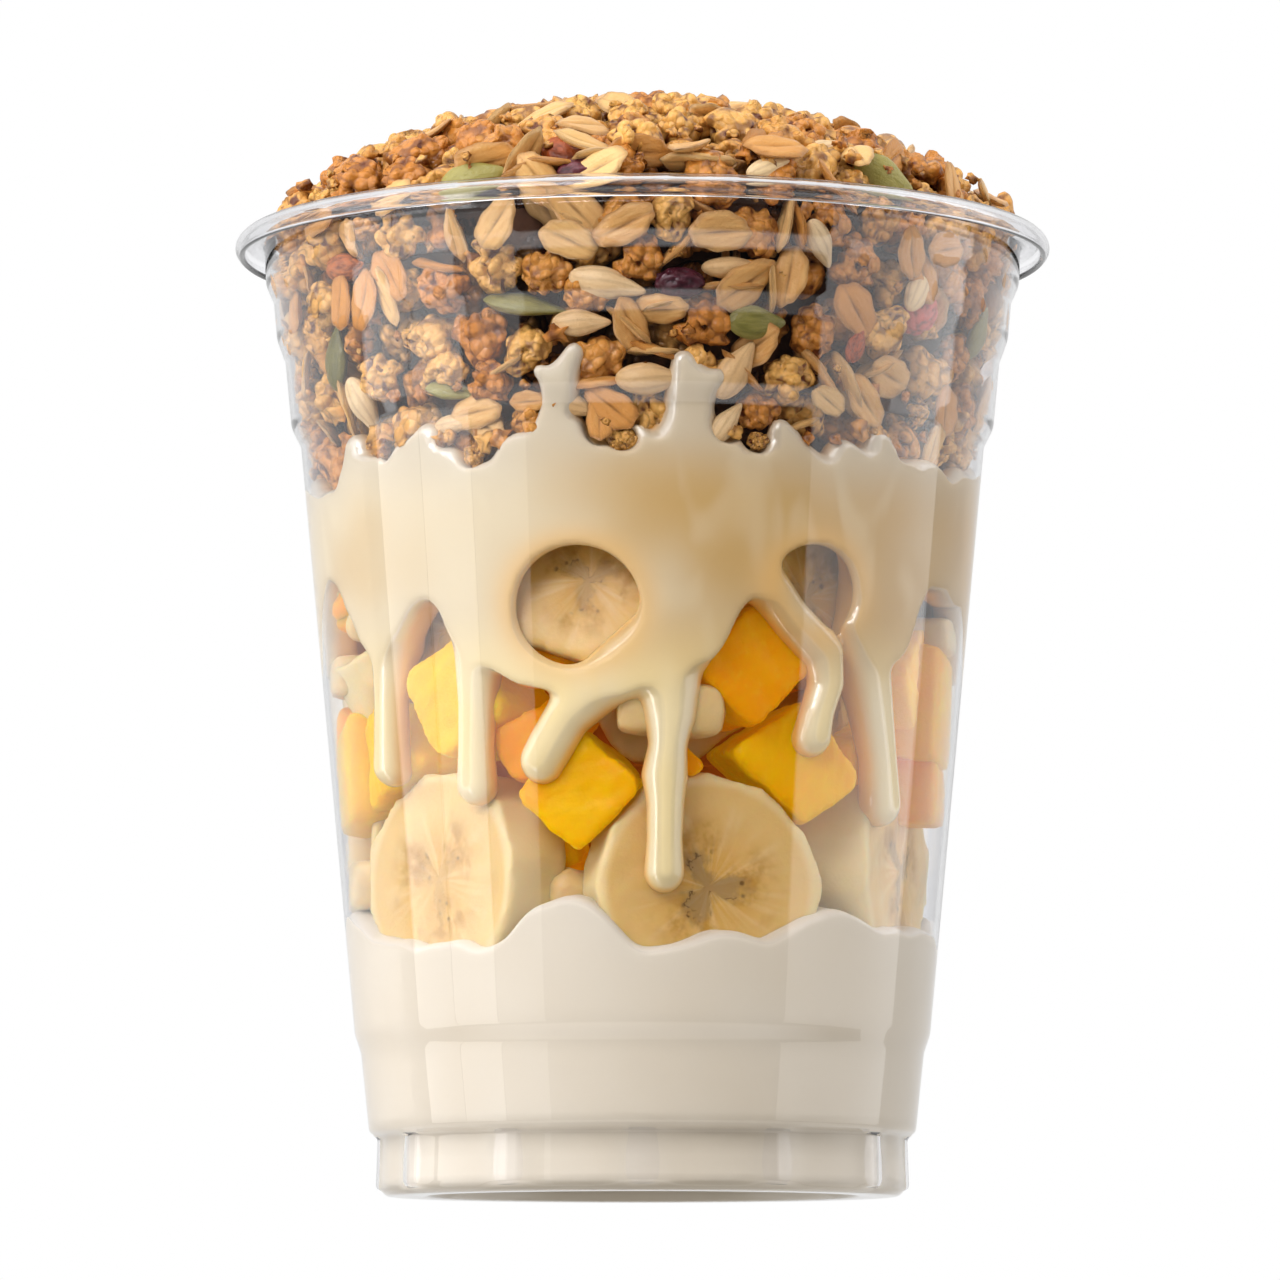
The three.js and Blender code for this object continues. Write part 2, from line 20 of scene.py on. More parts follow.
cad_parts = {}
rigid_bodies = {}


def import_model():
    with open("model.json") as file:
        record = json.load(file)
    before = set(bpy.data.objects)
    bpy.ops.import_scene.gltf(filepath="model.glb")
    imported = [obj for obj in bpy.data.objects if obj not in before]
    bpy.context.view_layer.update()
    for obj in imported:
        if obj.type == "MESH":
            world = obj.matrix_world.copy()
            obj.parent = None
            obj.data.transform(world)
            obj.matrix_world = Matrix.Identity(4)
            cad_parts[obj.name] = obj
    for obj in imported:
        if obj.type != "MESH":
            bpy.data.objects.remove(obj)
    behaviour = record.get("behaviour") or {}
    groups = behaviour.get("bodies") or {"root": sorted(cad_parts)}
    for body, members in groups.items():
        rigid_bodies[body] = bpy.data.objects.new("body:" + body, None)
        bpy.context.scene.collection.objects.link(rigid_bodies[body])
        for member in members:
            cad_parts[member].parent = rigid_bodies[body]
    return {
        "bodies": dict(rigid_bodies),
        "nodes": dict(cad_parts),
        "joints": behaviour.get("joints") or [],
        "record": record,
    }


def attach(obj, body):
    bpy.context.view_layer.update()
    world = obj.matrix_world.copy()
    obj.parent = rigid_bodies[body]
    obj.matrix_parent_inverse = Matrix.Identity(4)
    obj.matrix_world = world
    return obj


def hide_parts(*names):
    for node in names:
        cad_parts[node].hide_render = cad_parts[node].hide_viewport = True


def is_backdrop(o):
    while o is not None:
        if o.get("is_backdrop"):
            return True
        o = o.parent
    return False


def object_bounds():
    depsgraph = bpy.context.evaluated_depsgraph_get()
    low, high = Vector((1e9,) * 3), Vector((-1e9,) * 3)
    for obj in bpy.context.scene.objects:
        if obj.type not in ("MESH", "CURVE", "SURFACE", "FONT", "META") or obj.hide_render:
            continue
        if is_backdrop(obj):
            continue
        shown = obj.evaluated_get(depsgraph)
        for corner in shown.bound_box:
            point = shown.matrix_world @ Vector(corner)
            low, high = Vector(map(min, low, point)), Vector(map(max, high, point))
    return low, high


LOG = logging.getLogger("fruit_cup")
MM = 0.001
PHOTO_SIDE = 1280
PIXELS_PER_MM = 8.86
GOLDEN_TURN = 137.508
Marks = Sequence[tuple[float, float]]
Route = tuple[tuple[float, float, float], ...]
Colour = tuple[float, float, float, float]
Array = np.ndarray
Socket = bpy.types.NodeSocket


def at(turn: Array, reach: Array, height: Array) -> Array:
    """Finds points from their turn in degrees, distance from the axis and height.

    Args:
        turn: angles round the cup in degrees.
        reach: distances from the axis.
        height: heights above the base.

    Returns:
        The points as an array whose last axis is x, y, z.
    """
    angle = np.radians(turn)
    level = np.broadcast_to(np.asarray(height, float), np.broadcast(angle, reach, height).shape)
    return np.stack([reach * np.sin(angle) + 0 * level, -reach * np.cos(angle) + 0 * level, level], axis=-1)


def turn_of(points: Array) -> Array:
    """The turns of points in degrees."""
    return np.degrees(np.arctan2(points[..., 0], -points[..., 1]))


def off(turn: Array, middle: float) -> Array:
    """How far turns are past a middle one, from -180 to 180 degrees."""
    return np.mod(turn - middle + 180, 360) - 180


def smooth_least(first: Array, second: Array, blend: float) -> Array:
    """Takes the smaller of two distances, rounded where they meet.

    Args:
        first: one distance field.
        second: the other distance field.
        blend: how wide the rounding is.

    Returns:
        The joined distance field.
    """
    share = np.clip(0.5 + 0.5 * (second - first) / blend, 0, 1)
    return second + (first - second) * share - blend * share * (1 - share)


def smooth_most(first: Array, second: Array, blend: float) -> Array:
    """Takes the larger of two distances, rounded where they meet, as smooth_least does."""
    return -smooth_least(-first, -second, blend)


def eased(low: float, high: float, value: Array) -> Array:
    """Rises smoothly from 0 at low to 1 at high."""
    share = np.clip((value - low) / (high - low), 0, 1)
    return share * share * (3 - 2 * share)


@dataclass(frozen=True)
class Ripple:
    """A smooth random field made of a few waves."""

    seed: int
    wavelength: float
    waves: int = 14

    def at(self, points: Array) -> Array:
        """Reads the field.

        Args:
            points: an array whose last axis is x, y, z.

        Returns:
            Values mostly between -1 and 1.
        """
        rng = np.random.default_rng(self.seed)
        total = np.zeros(points.shape[:-1])
        for _ in range(self.waves):
            direction = rng.normal(size=3)
            direction /= np.linalg.norm(direction)
            pitch = 2 * math.pi / (self.wavelength * rng.uniform(0.7, 1.6))
            total += np.sin(points @ (direction * pitch) + rng.uniform(0, 2 * math.pi))
        return total / math.sqrt(self.waves / 2) / 1.6


@dataclass(frozen=True)
class WallLine:
    """A smooth closed line round the wall through [turn, height] marks, level at each mark."""

    marks: Marks

    def height(self, turn: Array) -> Array:
        """Reads the line.

        Args:
            turn: angles round the cup in degrees.

        Returns:
            The line's height at each turn.
        """
        turns = np.array([mark[0] for mark in self.marks] + [self.marks[0][0] + 360])
        heights = np.array([mark[1] for mark in self.marks] + [self.marks[0][1]])
        wrapped = turns[0] + np.mod(turn - turns[0], 360)
        before = np.clip(np.searchsorted(turns, wrapped, side="right") - 1, 0, len(turns) - 2)
        share = (wrapped - turns[before]) / (turns[before + 1] - turns[before])
        blend = (1 - np.cos(math.pi * share)) / 2
        return heights[before] + (heights[before + 1] - heights[before]) * blend


@dataclass(frozen=True)
class CupForm:
    """The outline of the cup, from the middle of the underside to the neck, as (radius, height)."""

    wall: float = 0.6
    rim_middle: float = 46.95
    rim_height: float = 113.55
    rim_across: float = 2.05
    rim_up: float = 1.6
    outside: Marks = (
        (0, 1.6), (24.6, 1.6), (25.6, 0), (30.4, 0),
        (31.4, 1.0), (31.2, 6.9),
        (32.5, 7.6), (33.5, 17.0),
        (34.25, 19.2), (41.0, 89.7),
        (42.15, 92.0), (42.9, 99.8),
        (43.95, 102.7), (44.35, 107.1),
        (45.3, 109.3), (45.5, 112.6),
    )

    def room(self, height: Array) -> Array:
        """Finds the inside radius of the wall.

        Args:
            height: heights above the base.

        Returns:
            The radius at each height, straight up above the neck.
        """
        side = self.outside[6:]
        radii = [radius - self.wall for radius, _ in side]
        levels = [level for _, level in side]
        return np.interp(height, [levels[0] - 1.5] + levels, [radii[0] - 0.9] + radii)


@dataclass(frozen=True)
class PhotoCamera:
    """Where the photo was taken from, and how its pixels meet the cup."""

    focal_pixels: float = 7043.0
    distance: float = 839.5
    height: float = -21.2
    pitch: float = 5.966
    middle_x: float = 642.5
    sensor: float = 36.0

    def ray(self, x: float, y: float) -> tuple[Array, Array]:
        """Finds the line of sight through a pixel.

        Args:
            x: pixels from the photo's left edge.
            y: pixels from the photo's top edge.

        Returns:
            The camera's place and the direction of sight, not of unit length.
        """
        across = (x - self.middle_x) / self.focal_pixels
        up = (PHOTO_SIDE / 2 - y) / self.focal_pixels
        tilt = math.radians(self.pitch)
        ahead = np.array([0, math.cos(tilt), math.sin(tilt)])
        above = np.array([0, -math.sin(tilt), math.cos(tilt)])
        direction = ahead + above * up + np.array([across, 0, 0])
        return np.array([0, -self.distance, self.height]), direction

    def meets(self, x: float, y: float, inside: Callable[[Array], Array]) -> Array:
        """Walks along a line of sight until it enters a form.

        Args:
            x: pixels from the photo's left edge.
            y: pixels from the photo's top edge.
            inside: gives values above 0 for points inside the form.

        Returns:
            The point where the sight enters the form, or the nearest to it on a miss.
        """
        start, direction = self.ray(x, y)
        steps = np.arange(self.distance - 60, self.distance + 60, 0.2)
        points = start + steps[:, None] * direction
        values = inside(points)
        hits = np.nonzero(values > 0)[0]
        return points[hits[0] if len(hits) else int(np.argmax(values))]

    def build(self) -> None:
        """Adds the camera to the scene."""
        data = bpy.data.cameras.new("photo_camera")
        data.lens = self.focal_pixels / PHOTO_SIDE * self.sensor
        data.sensor_width = self.sensor
        data.shift_x = (PHOTO_SIDE / 2 - self.middle_x) / PHOTO_SIDE
        data.clip_start = 0.01
        data.clip_end = 20
        camera = bpy.data.objects.new("photo_camera", data)
        camera.location = Vector((0, -self.distance, self.height)) * MM
        camera.rotation_euler = Euler((math.radians(90 + self.pitch), 0, 0))
        bpy.context.scene.collection.objects.link(camera)
        bpy.context.scene.camera = camera


FORM = CupForm()
CAMERA = PhotoCamera()
PHOTO_RIGHT = np.array([1.0, 0, 0])
PHOTO_UP = np.array([0, -0.104, 0.995])


def linear(value: int) -> float:
    """Turns a screen value from 0 to 255 into the shader's linear one."""
    share = value / 255
    return share / 12.92 if share <= 0.04045 else ((share + 0.055) / 1.055) ** 2.4


def srgb(red: int, green: int, blue: int) -> Colour:
    """Turns a screen colour from 0 to 255 into the shader's linear one."""
    return (linear(red), linear(green), linear(blue), 1.0)


class Nodes:
    """A node tree under construction: most methods add one node and return its output."""

    def __init__(self, tree: bpy.types.NodeTree) -> None:
        """Keeps the tree that the nodes go into."""
        self.tree = tree

    def feed(self, socket: Socket, value: object) -> None:
        """Sets an input to a constant or joins it to an output."""
        if isinstance(value, Socket):
            self.tree.links.new(value, socket)
        else:
            socket.default_value = value

    def add(self, kind: str, **values: object) -> bpy.types.Node:
        """Adds a node and gives it its options and inputs.

        Args:
            kind: the node's type.
            values: options under names in small letters, and inputs under their own names with an
                underscore for a space.

        Returns:
            The new node.
        """
        node = self.tree.nodes.new(kind)
        for name, value in values.items():
            if name.islower():
                setattr(node, name, value)
            else:
                self.feed(node.inputs[name.replace("_", " ")], value)
        return node

    def step(self, operation: str, *values: object) -> Socket:
        """Does one step of arithmetic, such as ADD."""
        node = self.add("ShaderNodeMath", operation=operation)
        for socket, value in zip(node.inputs, values):
            self.feed(socket, value)
        return node.outputs[0]

    def times(self, first: object, *others: object) -> Socket:
        """Multiplies numbers."""
        for other in others:
            first = self.step("MULTIPLY", first, other)
        return first

    def span(self, value: Socket, low: float, high: float,
             to_low: float = 0.0, to_high: float = 1.0) -> Socket:
        """Maps a number smoothly from one range to another."""
        return self.add("ShaderNodeMapRange", interpolation_type="SMOOTHSTEP", From_Min=low, From_Max=high,
                        To_Min=to_low, To_Max=to_high, Value=value).outputs["Result"]

    def split(self, where: Socket) -> list[Socket]:
        """Splits a vector into x, y and z."""
        return list(self.add("ShaderNodeSeparateXYZ", Vector=where).outputs)

    def blend(self, share: Socket, first: Socket,
              second: Socket) -> Socket:
        """Mixes two shaders by a share."""
        node = self.add("ShaderNodeMixShader", Fac=share)
        self.feed(node.inputs[1], first)
        self.feed(node.inputs[2], second)
        return node.outputs["Shader"]


class Recipe(Nodes):
    """A material under construction round one Principled shader."""

    def __init__(self, name: str) -> None:
        """Starts the material.

        Args:
            name: the material's name.
        """
        self.material = bpy.data.materials.new(name)
        self.material.use_nodes = True
        super().__init__(self.material.node_tree)
        self.shader = self.tree.nodes["Principled BSDF"]
        self.output = self.tree.nodes["Material Output"]

    def set(self, **values: object) -> None:
        """Gives the shader its inputs, an underscore standing for a space."""
        for name, value in values.items():
            self.feed(self.shader.inputs[name.replace("_", " ")], value)

    def swap(self, share: Socket, shader: bpy.types.Node) -> None:
        """Lets another shader take the main one's place by a share."""
        mixed = self.blend(share, self.shader.outputs["BSDF"], shader.outputs["BSDF"])
        self.feed(self.output.inputs["Surface"], mixed)

    def place(self, scale: tuple[float, float, float] = (1, 1, 1)) -> Socket:
        """Object coordinates in millimetres, stretched by a scale."""
        where = self.add("ShaderNodeTexCoord").outputs["Object"]
        return self.add("ShaderNodeMapping", Scale=Vector(scale) / MM, Vector=where).outputs["Vector"]

    def attribute(self, name: str, vector: bool = False) -> Socket:
        """A named attribute of the mesh, as a number or a vector."""
        node = self.add("ShaderNodeAttribute", attribute_name=name)
        return node.outputs["Vector" if vector else "Fac"]

    def noise(self, where: Socket, pitch: float, detail: float = 2.0,
              rough: float = 0.5, twist: float = 0.0) -> Socket:
        """Soft noise whose blobs are about pitch millimetres wide."""
        return self.add("ShaderNodeTexNoise", Scale=1 / pitch, Detail=detail, Roughness=rough,
                        Distortion=twist, Vector=where).outputs["Fac"]

    def cells(self, where: Socket, pitch: float) -> Socket:
        """Distance from the middle of cells about pitch millimetres wide."""
        return self.add("ShaderNodeTexVoronoi", Scale=1 / pitch, Vector=where).outputs["Distance"]

    def mix(self, share: object, first: object, second: object, mode: str = "MIX") -> Socket:
        """Mixes two colours by a share."""
        node = self.add("ShaderNodeMix", data_type="RGBA", blend_type=mode)
        for number, value in ((0, share), (6, first), (7, second)):
            self.feed(node.inputs[number], value)
        return node.outputs[2]

    def bump(self, height: Socket, depth: float, strength: float = 1.0,
             under: Socket | None = None) -> Socket:
        """Relief whose full height is depth millimetres."""
        node = self.add("ShaderNodeBump", Strength=strength, Distance=depth * MM, Height=height)
        if under is not None:
            self.feed(node.inputs["Normal"], under)
        return node.outputs["Normal"]


class Grower(Nodes):
    """A geometry node tree under construction, with named inputs."""

    def __init__(self, name: str, **inputs: str) -> None:
        """Starts a tree that takes geometry and gives geometry.

        Args:
            name: the tree's name.
            inputs: the kind of each further input by its name, an underscore standing for a space.
        """
        super().__init__(bpy.data.node_groups.new(name, "GeometryNodeTree"))
        face = self.tree.interface
        face.new_socket("Geometry", in_out="INPUT", socket_type="NodeSocketGeometry")
        for key, kind in inputs.items():
            face.new_socket(key.replace("_", " "), in_out="INPUT", socket_type=f"NodeSocket{kind}")
        face.new_socket("Geometry", in_out="OUTPUT", socket_type="NodeSocketGeometry")
        self.given = self.add("NodeGroupInput")

    def named(self, name: str, kind: str) -> Socket:
        """A named attribute of the points."""
        return self.add("GeometryNodeInputNamedAttribute", data_type=kind, Name=name).outputs["Attribute"]

    def finish(self, mesh: Socket) -> bpy.types.GeometryNodeTree:
        """Makes a mesh real, gives it the material of the Finish input and sends it out."""
        real = self.add("GeometryNodeRealizeInstances", Geometry=mesh)
        dressed = self.add("GeometryNodeSetMaterial", Geometry=real.outputs["Geometry"],
                           Material=self.given.outputs["Finish"])
        self.add("NodeGroupOutput", Geometry=dressed.outputs["Geometry"])
        return self.tree


@dataclass(frozen=True)
class ClearPlastic:
    """Thin clear PET that lets lamps through, so that what it holds is lit."""

    tint: Colour = srgb(251, 251, 253)
    shade: Colour = srgb(246, 246, 248)
    ior: float = 1.5

    def material(self) -> bpy.types.Material:
        """Builds the finish."""
        recipe = Recipe("clear_plastic")
        waves = recipe.noise(recipe.place((1, 1, 0.25)), 9.0, 1.0)
        recipe.set(Base_Color=self.tint, Roughness=0.012, IOR=self.ior, Transmission_Weight=1.0,
                   Normal=recipe.bump(waves, 0.05, 0.025))
        recipe.swap(recipe.add("ShaderNodeLightPath").outputs["Is Shadow Ray"],
                    recipe.add("ShaderNodeBsdfTransparent", Color=self.shade))
        return recipe.material


@dataclass(frozen=True)
class YogurtFinish:
    """Thick white yogurt, satin and a little translucent."""

    pale: Colour = srgb(240, 232, 219)
    warm: Colour = srgb(234, 223, 205)

    def material(self) -> bpy.types.Material:
        """Builds the finish."""
        recipe = Recipe("yogurt")
        where = recipe.place()
        recipe.set(Base_Color=recipe.mix(recipe.noise(where, 14.0, 2.0), self.pale, self.warm),
                   Roughness=0.42, IOR=1.38, Normal=recipe.bump(recipe.noise(where, 2.4, 3.0), 0.06, 0.35))
        return recipe.material


@dataclass(frozen=True)
class CreamFinish:
    """Custard-coloured cream: glossy and amber where it leaves the wall, greyer along its top; its amber, its warm
    window rims and its paler left side are painted light, its darker right side painted shade.
    """

    pale: Colour = srgb(231, 217, 189)
    rich: Colour = srgb(214, 181, 124)
    drip: Colour = srgb(255, 235, 182)
    rim: Colour = srgb(246, 200, 124)
    swirl: Colour = srgb(248, 236, 208)
    amber: Colour = srgb(246, 184, 92)
    top: Colour = srgb(220, 210, 192)

    def material(self) -> bpy.types.Material:
        """Builds the finish; the sunk attribute tells how far a point is behind the wall."""
        recipe = Recipe("custard_cream")
        where = recipe.place()
        x, _, z = recipe.split(where)
        # Painted light and shade: the cream is made paler towards the left and richer and darker towards the
        # right, as the light falls from the left.
        side = recipe.span(x, -24.0, 14.0, 0.55, 0.0)
        mottle = recipe.noise(where, 16.0, 1.0)
        body = recipe.mix(recipe.span(recipe.step("ADD", side, mottle), 0.4, 1.05), self.rich, self.pale)
        body = recipe.mix(recipe.span(z, 68.0, 54.0), body, self.drip)
        swirl = recipe.noise(recipe.place((1.0, 1.0, 0.5)), 9.0, 1.5, 0.45, 0.9)
        body = recipe.mix(recipe.span(swirl, 0.5, 0.74, 0.0, 0.34), body, self.swirl)
        veil = recipe.step("ADD", z, recipe.times(mottle, 6.0))
        body = recipe.mix(recipe.span(veil, 80.0, 90.0, 0.0, 0.75), body, self.top)
        # Painted light: a warm amber near the windows' rims, where light shines through the thin cream.
        body = recipe.mix(recipe.times(recipe.attribute("warm"), 0.65), body, self.rim)
        sunk = recipe.attribute("sunk")
        # Painted light: amber where the cream leaves the wall stands for light shining through the thin cream.
        recipe.set(Base_Color=recipe.mix(recipe.span(sunk, 0.4, 2.2, 0.0, 0.85), body, self.amber),
                   Roughness=0.3, IOR=1.5, Specular_IOR_Level=0.25,
                   Coat_Weight=recipe.span(sunk, 0.02, 0.14), Coat_Roughness=0.05, Coat_IOR=1.9,
                   Normal=recipe.bump(recipe.noise(where, 7.0, 1.0), 0.12, 0.3))
        return recipe.material


@dataclass(frozen=True)
class BananaFinish:
    """Cut banana: a soft three-lobed grey heart with broken lines, mustard smudges, a pale ring and side."""

    middle: Colour = srgb(229, 184, 98)
    outer: Colour = srgb(240, 204, 132)
    rim: Colour = srgb(248, 222, 166)
    heart: Colour = srgb(168, 138, 92)
    smudge: Colour = srgb(190, 138, 34)
    line: Colour = srgb(92, 62, 34)

    def material(self) -> bpy.types.Material:
        """Builds the finish from the slice attributes, which run from -1 to 1 across the slice."""
        recipe = Recipe("banana")
        step, times, span, mix = recipe.step, recipe.times, recipe.span, recipe.mix
        across, up, through, tone = (recipe.attribute(name) for name in ("slice_u", "slice_v", "slice_w", "tone"))
        where = recipe.place()
        sway = times(step("SUBTRACT", recipe.noise(where, 3.0, 3.0, 0.6), 0.5), 1.7)
        reach = step("SQRT", step("ADD", times(across, across), times(up, up)))
        angle = step("ADD", step("ARCTAN2", up, across), sway)
        lobe = step("ADD", 0.5, times(0.5, step("COSINE", times(angle, 3.0))))
        blur = times(step("SUBTRACT", recipe.noise(where, 1.2, 3.0, 0.65), 0.5), 0.3)
        edge = step("ADD", step("ADD", 0.07, times(0.26, step("POWER", lobe, 1.4))), blur)
        past = step("SUBTRACT", reach, edge)
        flesh = mix(span(reach, 0.2, 0.78), self.middle, self.outer)
        rays = recipe.noise(recipe.attribute("rays", vector=True), 1.0, 2.0, 0.6)
        streaks = times(span(rays, 0.42, 0.72), span(reach, 0.8, 0.6))
        flesh = mix(times(streaks, 0.45), flesh, self.rim)
        blotch = span(recipe.noise(where, 2.8, 3.0, 0.6), 0.36, 0.68)
        band = times(span(reach, 0.12, 0.34), span(reach, 0.72, 0.42))
        flesh = mix(times(blotch, band, span(lobe, 0.1, 0.8), 0.8), flesh, self.smudge)
        inner = times(span(past, 0.13, -0.12), span(tone, 0.0, 1.0, 0.2, 0.72))
        flesh = mix(inner, flesh, self.heart)
        thin = span(step("ABSOLUTE", step("ADD", past, 0.05)), 0.022, 0.0)
        broken = span(recipe.noise(where, 1.5, 1.0), 0.5, 0.62)
        flesh = mix(times(thin, broken, span(tone, 0.0, 1.0, 0.3, 0.8)), flesh, self.line)
        dots = span(recipe.cells(where, 1.7), 0.26, 0.1)
        band = times(span(reach, 0.1, 0.2), span(reach, 0.42, 0.34))
        flesh = mix(times(dots, band, span(lobe, 0.3, 0.7), 0.75), flesh, self.line)
        flesh = mix(span(reach, 0.84, 0.93), flesh, self.rim)
        side = span(step("ABSOLUTE", through), 0.9, 0.78)
        grain = recipe.bump(recipe.noise(where, 0.5, 3.0, 0.6), 0.1, 0.5)
        recipe.set(Base_Color=mix(side, flesh, self.rim), Roughness=0.34, IOR=1.4, Subsurface_Weight=1.0,
                   Subsurface_Scale=0.0005, Subsurface_Radius=(1.0, 0.75, 0.45),
                   Normal=recipe.bump(span(past, -0.1, 0.1), 0.2, 0.3, grain))
        return recipe.material


@dataclass(frozen=True)
class MangoFinish:
    """Ripe mango: saturated yellow to deep orange, moist, with fine fibres."""

    yellow: Colour = srgb(252, 196, 0)
    orange: Colour = srgb(252, 162, 0)
    pale: Colour = srgb(255, 212, 50)

    def material(self) -> bpy.types.Material:
        """Builds the finish."""
        recipe = Recipe("mango")
        tone = recipe.attribute("tone")
        fibre = recipe.noise(recipe.attribute("grain", vector=True), 1.0, 3.0, 0.62)
        cloud = recipe.noise(recipe.place(), 6.0, 2.0)
        body = recipe.mix(recipe.span(recipe.step("ADD", tone, cloud), 0.5, 1.4), self.yellow, self.orange)
        sparkle = recipe.bump(recipe.noise(recipe.place(), 0.35, 2.0, 0.6), 0.1, 0.55)
        # Painted light: the emission makes the mango glow orange in its shaded parts, standing for light scattered
        # through the fruit.
        recipe.set(Base_Color=recipe.mix(recipe.span(fibre, 0.52, 0.8, 0.0, 0.36), body, self.pale),
                   Roughness=0.3, IOR=1.3, Specular_IOR_Level=0.2, Emission_Color=body, Emission_Strength=0.12,
                   Subsurface_Weight=1.0, Subsurface_Scale=0.0014, Subsurface_Radius=(1.0, 0.45, 0.06),
                   Normal=recipe.bump(fibre, 0.2, 0.3, sparkle))
        return recipe.material


@dataclass(frozen=True)
class SyrupFinish:
    """Dark amber fruit syrup between the pieces; its dark amber stands partly for the shade in the gaps between
    the fruit, and it glows with painted light.
    """

    deep: Colour = srgb(158, 78, 8)
    bright: Colour = srgb(216, 132, 40)

    def material(self) -> bpy.types.Material:
        """Builds the finish."""
        recipe = Recipe("fruit_syrup")
        cloud = recipe.noise(recipe.place(), 4.0, 2.0)
        # Painted light: the emission makes the syrup glow though no lamp lights it.
        recipe.set(Base_Color=recipe.mix(recipe.span(cloud, 0.35, 0.7), self.deep, self.bright),
                   Roughness=0.12, IOR=1.42, Emission_Color=self.deep, Emission_Strength=0.25,
                   Normal=recipe.bump(cloud, 0.4, 0.5))
        return recipe.material


class Toast(Enum):
    """The finishes of the things in the granola, as pale, mid and dark colours and gloss."""

    OAT = (srgb(248, 202, 132), srgb(222, 154, 76), srgb(112, 58, 20), 0.34)
    CLUSTER = (srgb(252, 192, 104), srgb(220, 142, 60), srgb(104, 50, 18), 0.26)
    PUMPKIN = (srgb(168, 158, 84), srgb(98, 94, 32), srgb(46, 44, 14), 0.3)
    SUNFLOWER = (srgb(252, 222, 174), srgb(230, 188, 132), srgb(160, 112, 70), 0.4)
    ALMOND = (srgb(214, 132, 72), srgb(180, 84, 34), srgb(104, 42, 18), 0.4)
    BERRY = (srgb(142, 64, 74), srgb(72, 22, 36), srgb(34, 10, 20), 0.3)
    REDBERRY = (srgb(214, 96, 84), srgb(166, 40, 40), srgb(92, 18, 20), 0.3)
    # The core's dark colours are painted shade for the inside of the heap.
    CORE = (srgb(120, 72, 34), srgb(86, 48, 20), srgb(52, 26, 10), 0.7)

    def material(self) -> bpy.types.Material:
        """Builds the finish from the tone, mark, grain and deep attributes of the pieces; deep paints shade on
        what lies further inside the heap.

        Returns:
            The material, darkest where the mark attribute is 1.
        """
        pale, mid, dark, gloss = self.value
        recipe = Recipe(f"granola_{self.name.lower()}")
        grain = recipe.attribute("grain", vector=True)
        streak = recipe.noise(grain, 1.0, 3.0, 0.6)
        speckle = recipe.noise(recipe.place(), 0.45, 2.0, 0.6)
        toast = recipe.step("ADD", recipe.attribute("tone"), recipe.times(streak, 0.8))
        body = recipe.mix(recipe.span(toast, 0.45, 1.35), pale, mid)
        mark = recipe.step("ADD", recipe.attribute("mark"), recipe.span(speckle, 0.6, 0.85, 0.0, 0.25))
        nodule = recipe.cells(grain, 2.3)
        knobbly = 0.02
        # Painted shade: clusters get dark crevices between their nodules.
        if self is Toast.CLUSTER:
            knobbly = 0.55
            mark = recipe.step("ADD", mark, recipe.span(nodule, 0.4, 0.78, -0.12, 0.6))
        body = recipe.mix(recipe.span(mark, 0.0, 1.0), body, dark)
        # Painted shade: the deep attribute darkens pieces further inside the heap towards their dark colour.
        shaded = recipe.mix(1.0, recipe.mix(0.75, body, dark), dark, "MULTIPLY")
        rough = recipe.bump(recipe.span(nodule, 0.0, 0.8, 1.0, 0.0), knobbly, 1.0)
        fine = recipe.bump(speckle, 0.14, 0.8, rough)
        recipe.set(Base_Color=recipe.mix(recipe.attribute("deep"), body, shaded), Roughness=gloss, IOR=1.45,
                   Normal=recipe.bump(streak, 0.16, 0.7, fine))
        return recipe.material


def carry(mesh: bpy.types.Mesh, values: dict[str, Array]) -> None:
    """Stores values on a mesh's points as whole numbers, numbers or vectors."""
    for key, value in values.items():
        kind, form = ("INT", np.int32) if value.dtype.kind == "i" else ("FLOAT", np.float32)
        kind, part = ("FLOAT_VECTOR", "vector") if value.ndim == 2 else (kind, "value")
        mesh.attributes.new(key, kind, "POINT").data.foreach_set(part, value.astype(form).ravel())


def smoothed(mesh: bpy.types.Mesh) -> None:
    """Shades a mesh's faces smoothly."""
    mesh.polygons.foreach_set("use_smooth", np.ones(len(mesh.polygons), bool))


def points_of(mesh: bpy.types.Mesh) -> Array:
    """A mesh's points in metres."""
    points = np.zeros(len(mesh.vertices) * 3)
    mesh.vertices.foreach_get("co", points)
    return points.reshape(-1, 3)


@dataclass
class Surface:
    """Points in millimetres, faces, and values carried by the points."""

    points: Array
    faces: list
    values: dict[str, Array] = field(default_factory=dict)

    def mesh(self, name: str) -> bpy.types.Mesh:
        """Makes a smooth Blender mesh in metres.

        Args:
            name: the mesh's name.

        Returns:
            The mesh, with each value as an attribute.
        """
        mesh = bpy.data.meshes.new(name)
        mesh.from_pydata((self.points * MM).tolist(), [], self.faces)
        carry(mesh, self.values)
        smoothed(mesh)
        mesh.update()
        return mesh


def place_object(name: str, mesh: bpy.types.Mesh, material: bpy.types.Material | None) -> bpy.types.Object:
    """Puts a mesh in the scene at the origin.

    Args:
        name: the object's name.
        mesh: its mesh, already in place.
        material: its finish, or None where the mesh has it already.

    Returns:
        The new object.
    """
    if material is not None:
        mesh.materials.clear()
        mesh.materials.append(material)
    piece = bpy.data.objects.new(name, mesh)
    bpy.context.scene.collection.objects.link(piece)
    return piece


def dress(piece: bpy.types.Object, slot: str, *nodes: str) -> None:
    """Lets a piece ride with the cup, hides the nodes that it stands for and logs its triangles."""
    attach(piece, "root")
    if nodes:
        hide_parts(*nodes)
    triangles = sum(len(polygon.vertices) - 2 for polygon in piece.data.polygons)
    LOG.info("%s: %d triangles", piece.name, triangles)


